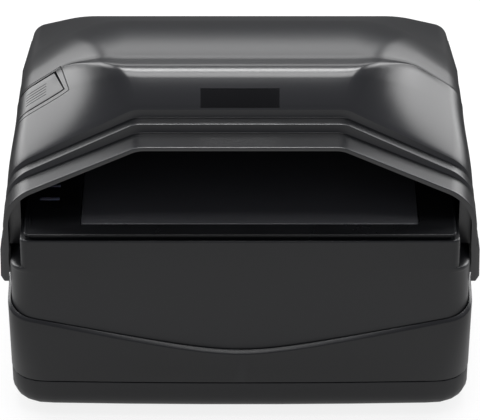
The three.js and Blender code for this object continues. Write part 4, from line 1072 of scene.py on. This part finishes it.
# Every node of the solids gets its dressed piece
finish_piece(make_hood(), HOOD, "hood", "hood", "hood_shell", angle=32)
finish_piece(make_tab(), HOOD, "button", "hood", "release_button", angle=32)
finish_piece(make_label(), LABEL, "hood", "label", "label_plate")
finish_piece(make_lower_housing(), CASING, "base", "casing", "lower_housing", angle=32)
finish_piece(make_upper_housing(), CASING, "base", "casing", "upper_housing", angle=32)
finish_piece(make_top_frame(), DECK, "base", "deck", "top_frame", angle=32)
dress("base_plate", CASING, "base", "casing", edge_mm=0.3)
dress("scan_glass", GLASS_LOOK, "base", "window", edge_mm=0.1)
dress("front_lens", LENS_LOOK, "base", "window", edge_mm=0.1, angle=50)
dress("glass_gasket", GASKET, "base", "rubber", edge_mm=0.2)
for index in (1, 2):
    dress(f"status_light_{index}", GUIDE, "base", "light_pipe", edge_mm=0.2)
for corner in ("front_left", "front_right", "rear_left", "rear_right"):
    dress(f"foot_{corner}", RUBBER, "base", "rubber", edge_mm=0.25, angle=50)
    dress(f"base_screw_{corner}", STEEL, "base", "steel", edge_mm=0.15, angle=40)
for board in ("status_board", "antenna_board", "camera_board", "lamp_board_left", "lamp_board_right"):
    dress(board, CIRCUIT, "base", "board", edge_mm=0.12)
dress("main_board", CIRCUIT, "base", "board", edge_mm=0.12)
dress("optical_chamber", CHAMBER, "base", "chamber", edge_mm=0.3)
for node in ("lens_barrel", "power_socket", "buzzer"):
    dress(node, COMPONENT, "base", "component", edge_mm=0.2, angle=40)
dress("usb_socket", STEEL, "base", "steel", edge_mm=0.2)
dress("processor_heat_sink", ALUMINIUM, "base", "heat_sink", edge_mm=0.15)
for side in ("left", "right"):
    dress(f"hinge_bracket_{side}", STEEL, "base", "steel", edge_mm=0.2, angle=40)
    dress(f"hinge_pin_{side}", STEEL, "base", "steel", edge_mm=0.15, angle=40)
    for end in ("a", "b"):
        dress(f"hinge_screw_{side}_{end}", STEEL, "base", "steel", edge_mm=0.15, angle=40)
dress("latch_lever", COMPONENT, "latch", "component", edge_mm=0.2, angle=40)
dress("latch_pin", STEEL, "hood", "steel", edge_mm=0.15, angle=40)
dress("latch_spring", STEEL, "hood", "steel", edge_mm=0.12, angle=40)

# Stage: a floor that takes the reader's shadow and looks white from the camera. In reflections it is grey in
# front of the reader and dark behind it. The floor's half width is in millimetres, and the rest is in metres.
# Each lamp has a name, a place, a width and height, and a radiance.
FLOOR_HALF = 3000
FLOOR_PAINT = 0.16
FLOOR_GLOW = 0.84
FLOOR_MIRRORED = {"From Min": 0.05, "From Max": 0.25, "To Min": 0.42, "To Max": 0.05}
DOME_STOPS = [(0.0, (0.27, 0.275, 0.30)), (0.9, (0.33, 0.335, 0.37))]
AIM = (0, 0, 0.1)
LAMPS = (
    ("softbox_top", (0, 0.5, 1.32), (1.0, 0.26), 16.0),
    ("softbox_ahead", (0, -0.08, 1.4), (1.0, 0.46), 5.2),
    ("softbox_backdrop", (0, 1.42, 0.72), (1.3, 0.42), 4.2),
)
LAMP_PAIRS = (
    ("softbox_side", (1.14, 0.85, 0.72), (0.8, 0.8), 4.6),
    ("softbox_low", (1.0, 1.15, 0.3), (0.9, 0.5), 3.6),
)
CAMERA_PLACE = (0, -1.14103, 0.81651)
CAMERA_TILT = 56
CAMERA_LENS = 255


def any_of(nodes, links, *sockets):
    total = sockets[0]
    for socket in sockets[1:]:
        most = nodes.new("ShaderNodeMath")
        most.operation = "MAXIMUM"
        links.new(total, most.inputs[0])
        links.new(socket, most.inputs[1])
        total = most.outputs["Value"]
    return total


def seen_directly(nodes, links, path):
    return any_of(nodes, links, path["Is Camera Ray"], path["Is Transmission Ray"])


def stage_paint():
    """Paint that glows white where it is seen. Mirrored, it glows less, and least behind the reader."""
    made, nodes, links = material("stage_paint")
    output = nodes.new("ShaderNodeOutputMaterial")
    diffuse = nodes.new("ShaderNodeBsdfDiffuse")
    diffuse.inputs["Color"].default_value = (FLOOR_PAINT, FLOOR_PAINT, FLOOR_PAINT, 1)
    glow = nodes.new("ShaderNodeEmission")
    glow.inputs["Color"].default_value = (1, 1, 1, 1)
    path = nodes.new("ShaderNodeLightPath").outputs
    seen = remap(nodes, links, seen_directly(nodes, links, path), 0.0, FLOOR_GLOW)
    place = nodes.new("ShaderNodeSeparateXYZ")
    links.new(nodes.new("ShaderNodeNewGeometry").outputs["Position"], place.inputs["Vector"])
    depth = nodes.new("ShaderNodeMapRange")
    links.new(place.outputs["Y"], depth.inputs["Value"])
    for name, value in FLOOR_MIRRORED.items():
        depth.inputs[name].default_value = value
    mirrored = nodes.new("ShaderNodeMath")
    mirrored.operation = "MULTIPLY"
    links.new(depth.outputs["Result"], mirrored.inputs[0])
    links.new(path["Is Glossy Ray"], mirrored.inputs[1])
    links.new(any_of(nodes, links, seen, mirrored.outputs["Value"]), glow.inputs["Strength"])
    both = nodes.new("ShaderNodeAddShader")
    links.new(diffuse.outputs["BSDF"], both.inputs[0])
    links.new(glow.outputs["Emission"], both.inputs[1])
    links.new(both.outputs["Shader"], output.inputs["Surface"])
    return made


corners = [(-FLOOR_HALF, -FLOOR_HALF, 0), (FLOOR_HALF, -FLOOR_HALF, 0)]
corners += [(FLOOR_HALF, FLOOR_HALF, 0), (-FLOOR_HALF, FLOOR_HALF, 0)]
floor = mesh_object("floor", corners, [(0, 1, 2, 3)])
floor.data.materials.append(stage_paint())

# World: white where it is seen directly or through glass, and a grey dome in light and reflections
world = bpy.data.worlds.new("studio")
bpy.context.scene.world = world
world.use_nodes = True
nodes, links = world.node_tree.nodes, world.node_tree.links
nodes.clear()
output = nodes.new("ShaderNodeOutputWorld")
background = nodes.new("ShaderNodeBackground")
direct = seen_directly(nodes, links, nodes.new("ShaderNodeLightPath").outputs)
height = nodes.new("ShaderNodeSeparateXYZ")
links.new(nodes.new("ShaderNodeTexCoord").outputs["Generated"], height.inputs["Vector"])
dome = ramp(nodes, links, height.outputs["Z"], DOME_STOPS)
links.new(blend_colors(nodes, links, direct, dome, (1.0, 1.0, 1.0)), background.inputs["Color"])
links.new(background.outputs["Background"], output.inputs["Surface"])


def softbox(name, place, size, radiance):
    """A rectangular lamp aimed at the reader."""
    light = bpy.data.lights.new(name, "AREA")
    light.shape = "RECTANGLE"
    light.size, light.size_y = size
    light.energy = radiance * math.pi * size[0] * size[1]
    obj = bpy.data.objects.new(name, light)
    bpy.context.scene.collection.objects.link(obj)
    obj.location = place
    obj.rotation_euler = (Vector(AIM) - Vector(place)).to_track_quat("-Z", "Y").to_euler()


for lamp in LAMPS:
    softbox(*lamp)
for side in (-1, 1):
    for name, (x, y, z), size, radiance in LAMP_PAIRS:
        softbox(name, (side * x, y, z), size, radiance)

camera_data = bpy.data.cameras.new("camera")
camera_data.sensor_width = 36
camera_data.lens = CAMERA_LENS
camera = bpy.data.objects.new("camera", camera_data)
bpy.context.scene.collection.objects.link(camera)
camera.location = CAMERA_PLACE
camera.rotation_euler = (math.radians(CAMERA_TILT), 0, 0)
bpy.context.scene.camera = camera
bpy.context.scene.view_settings.view_transform = "Standard"
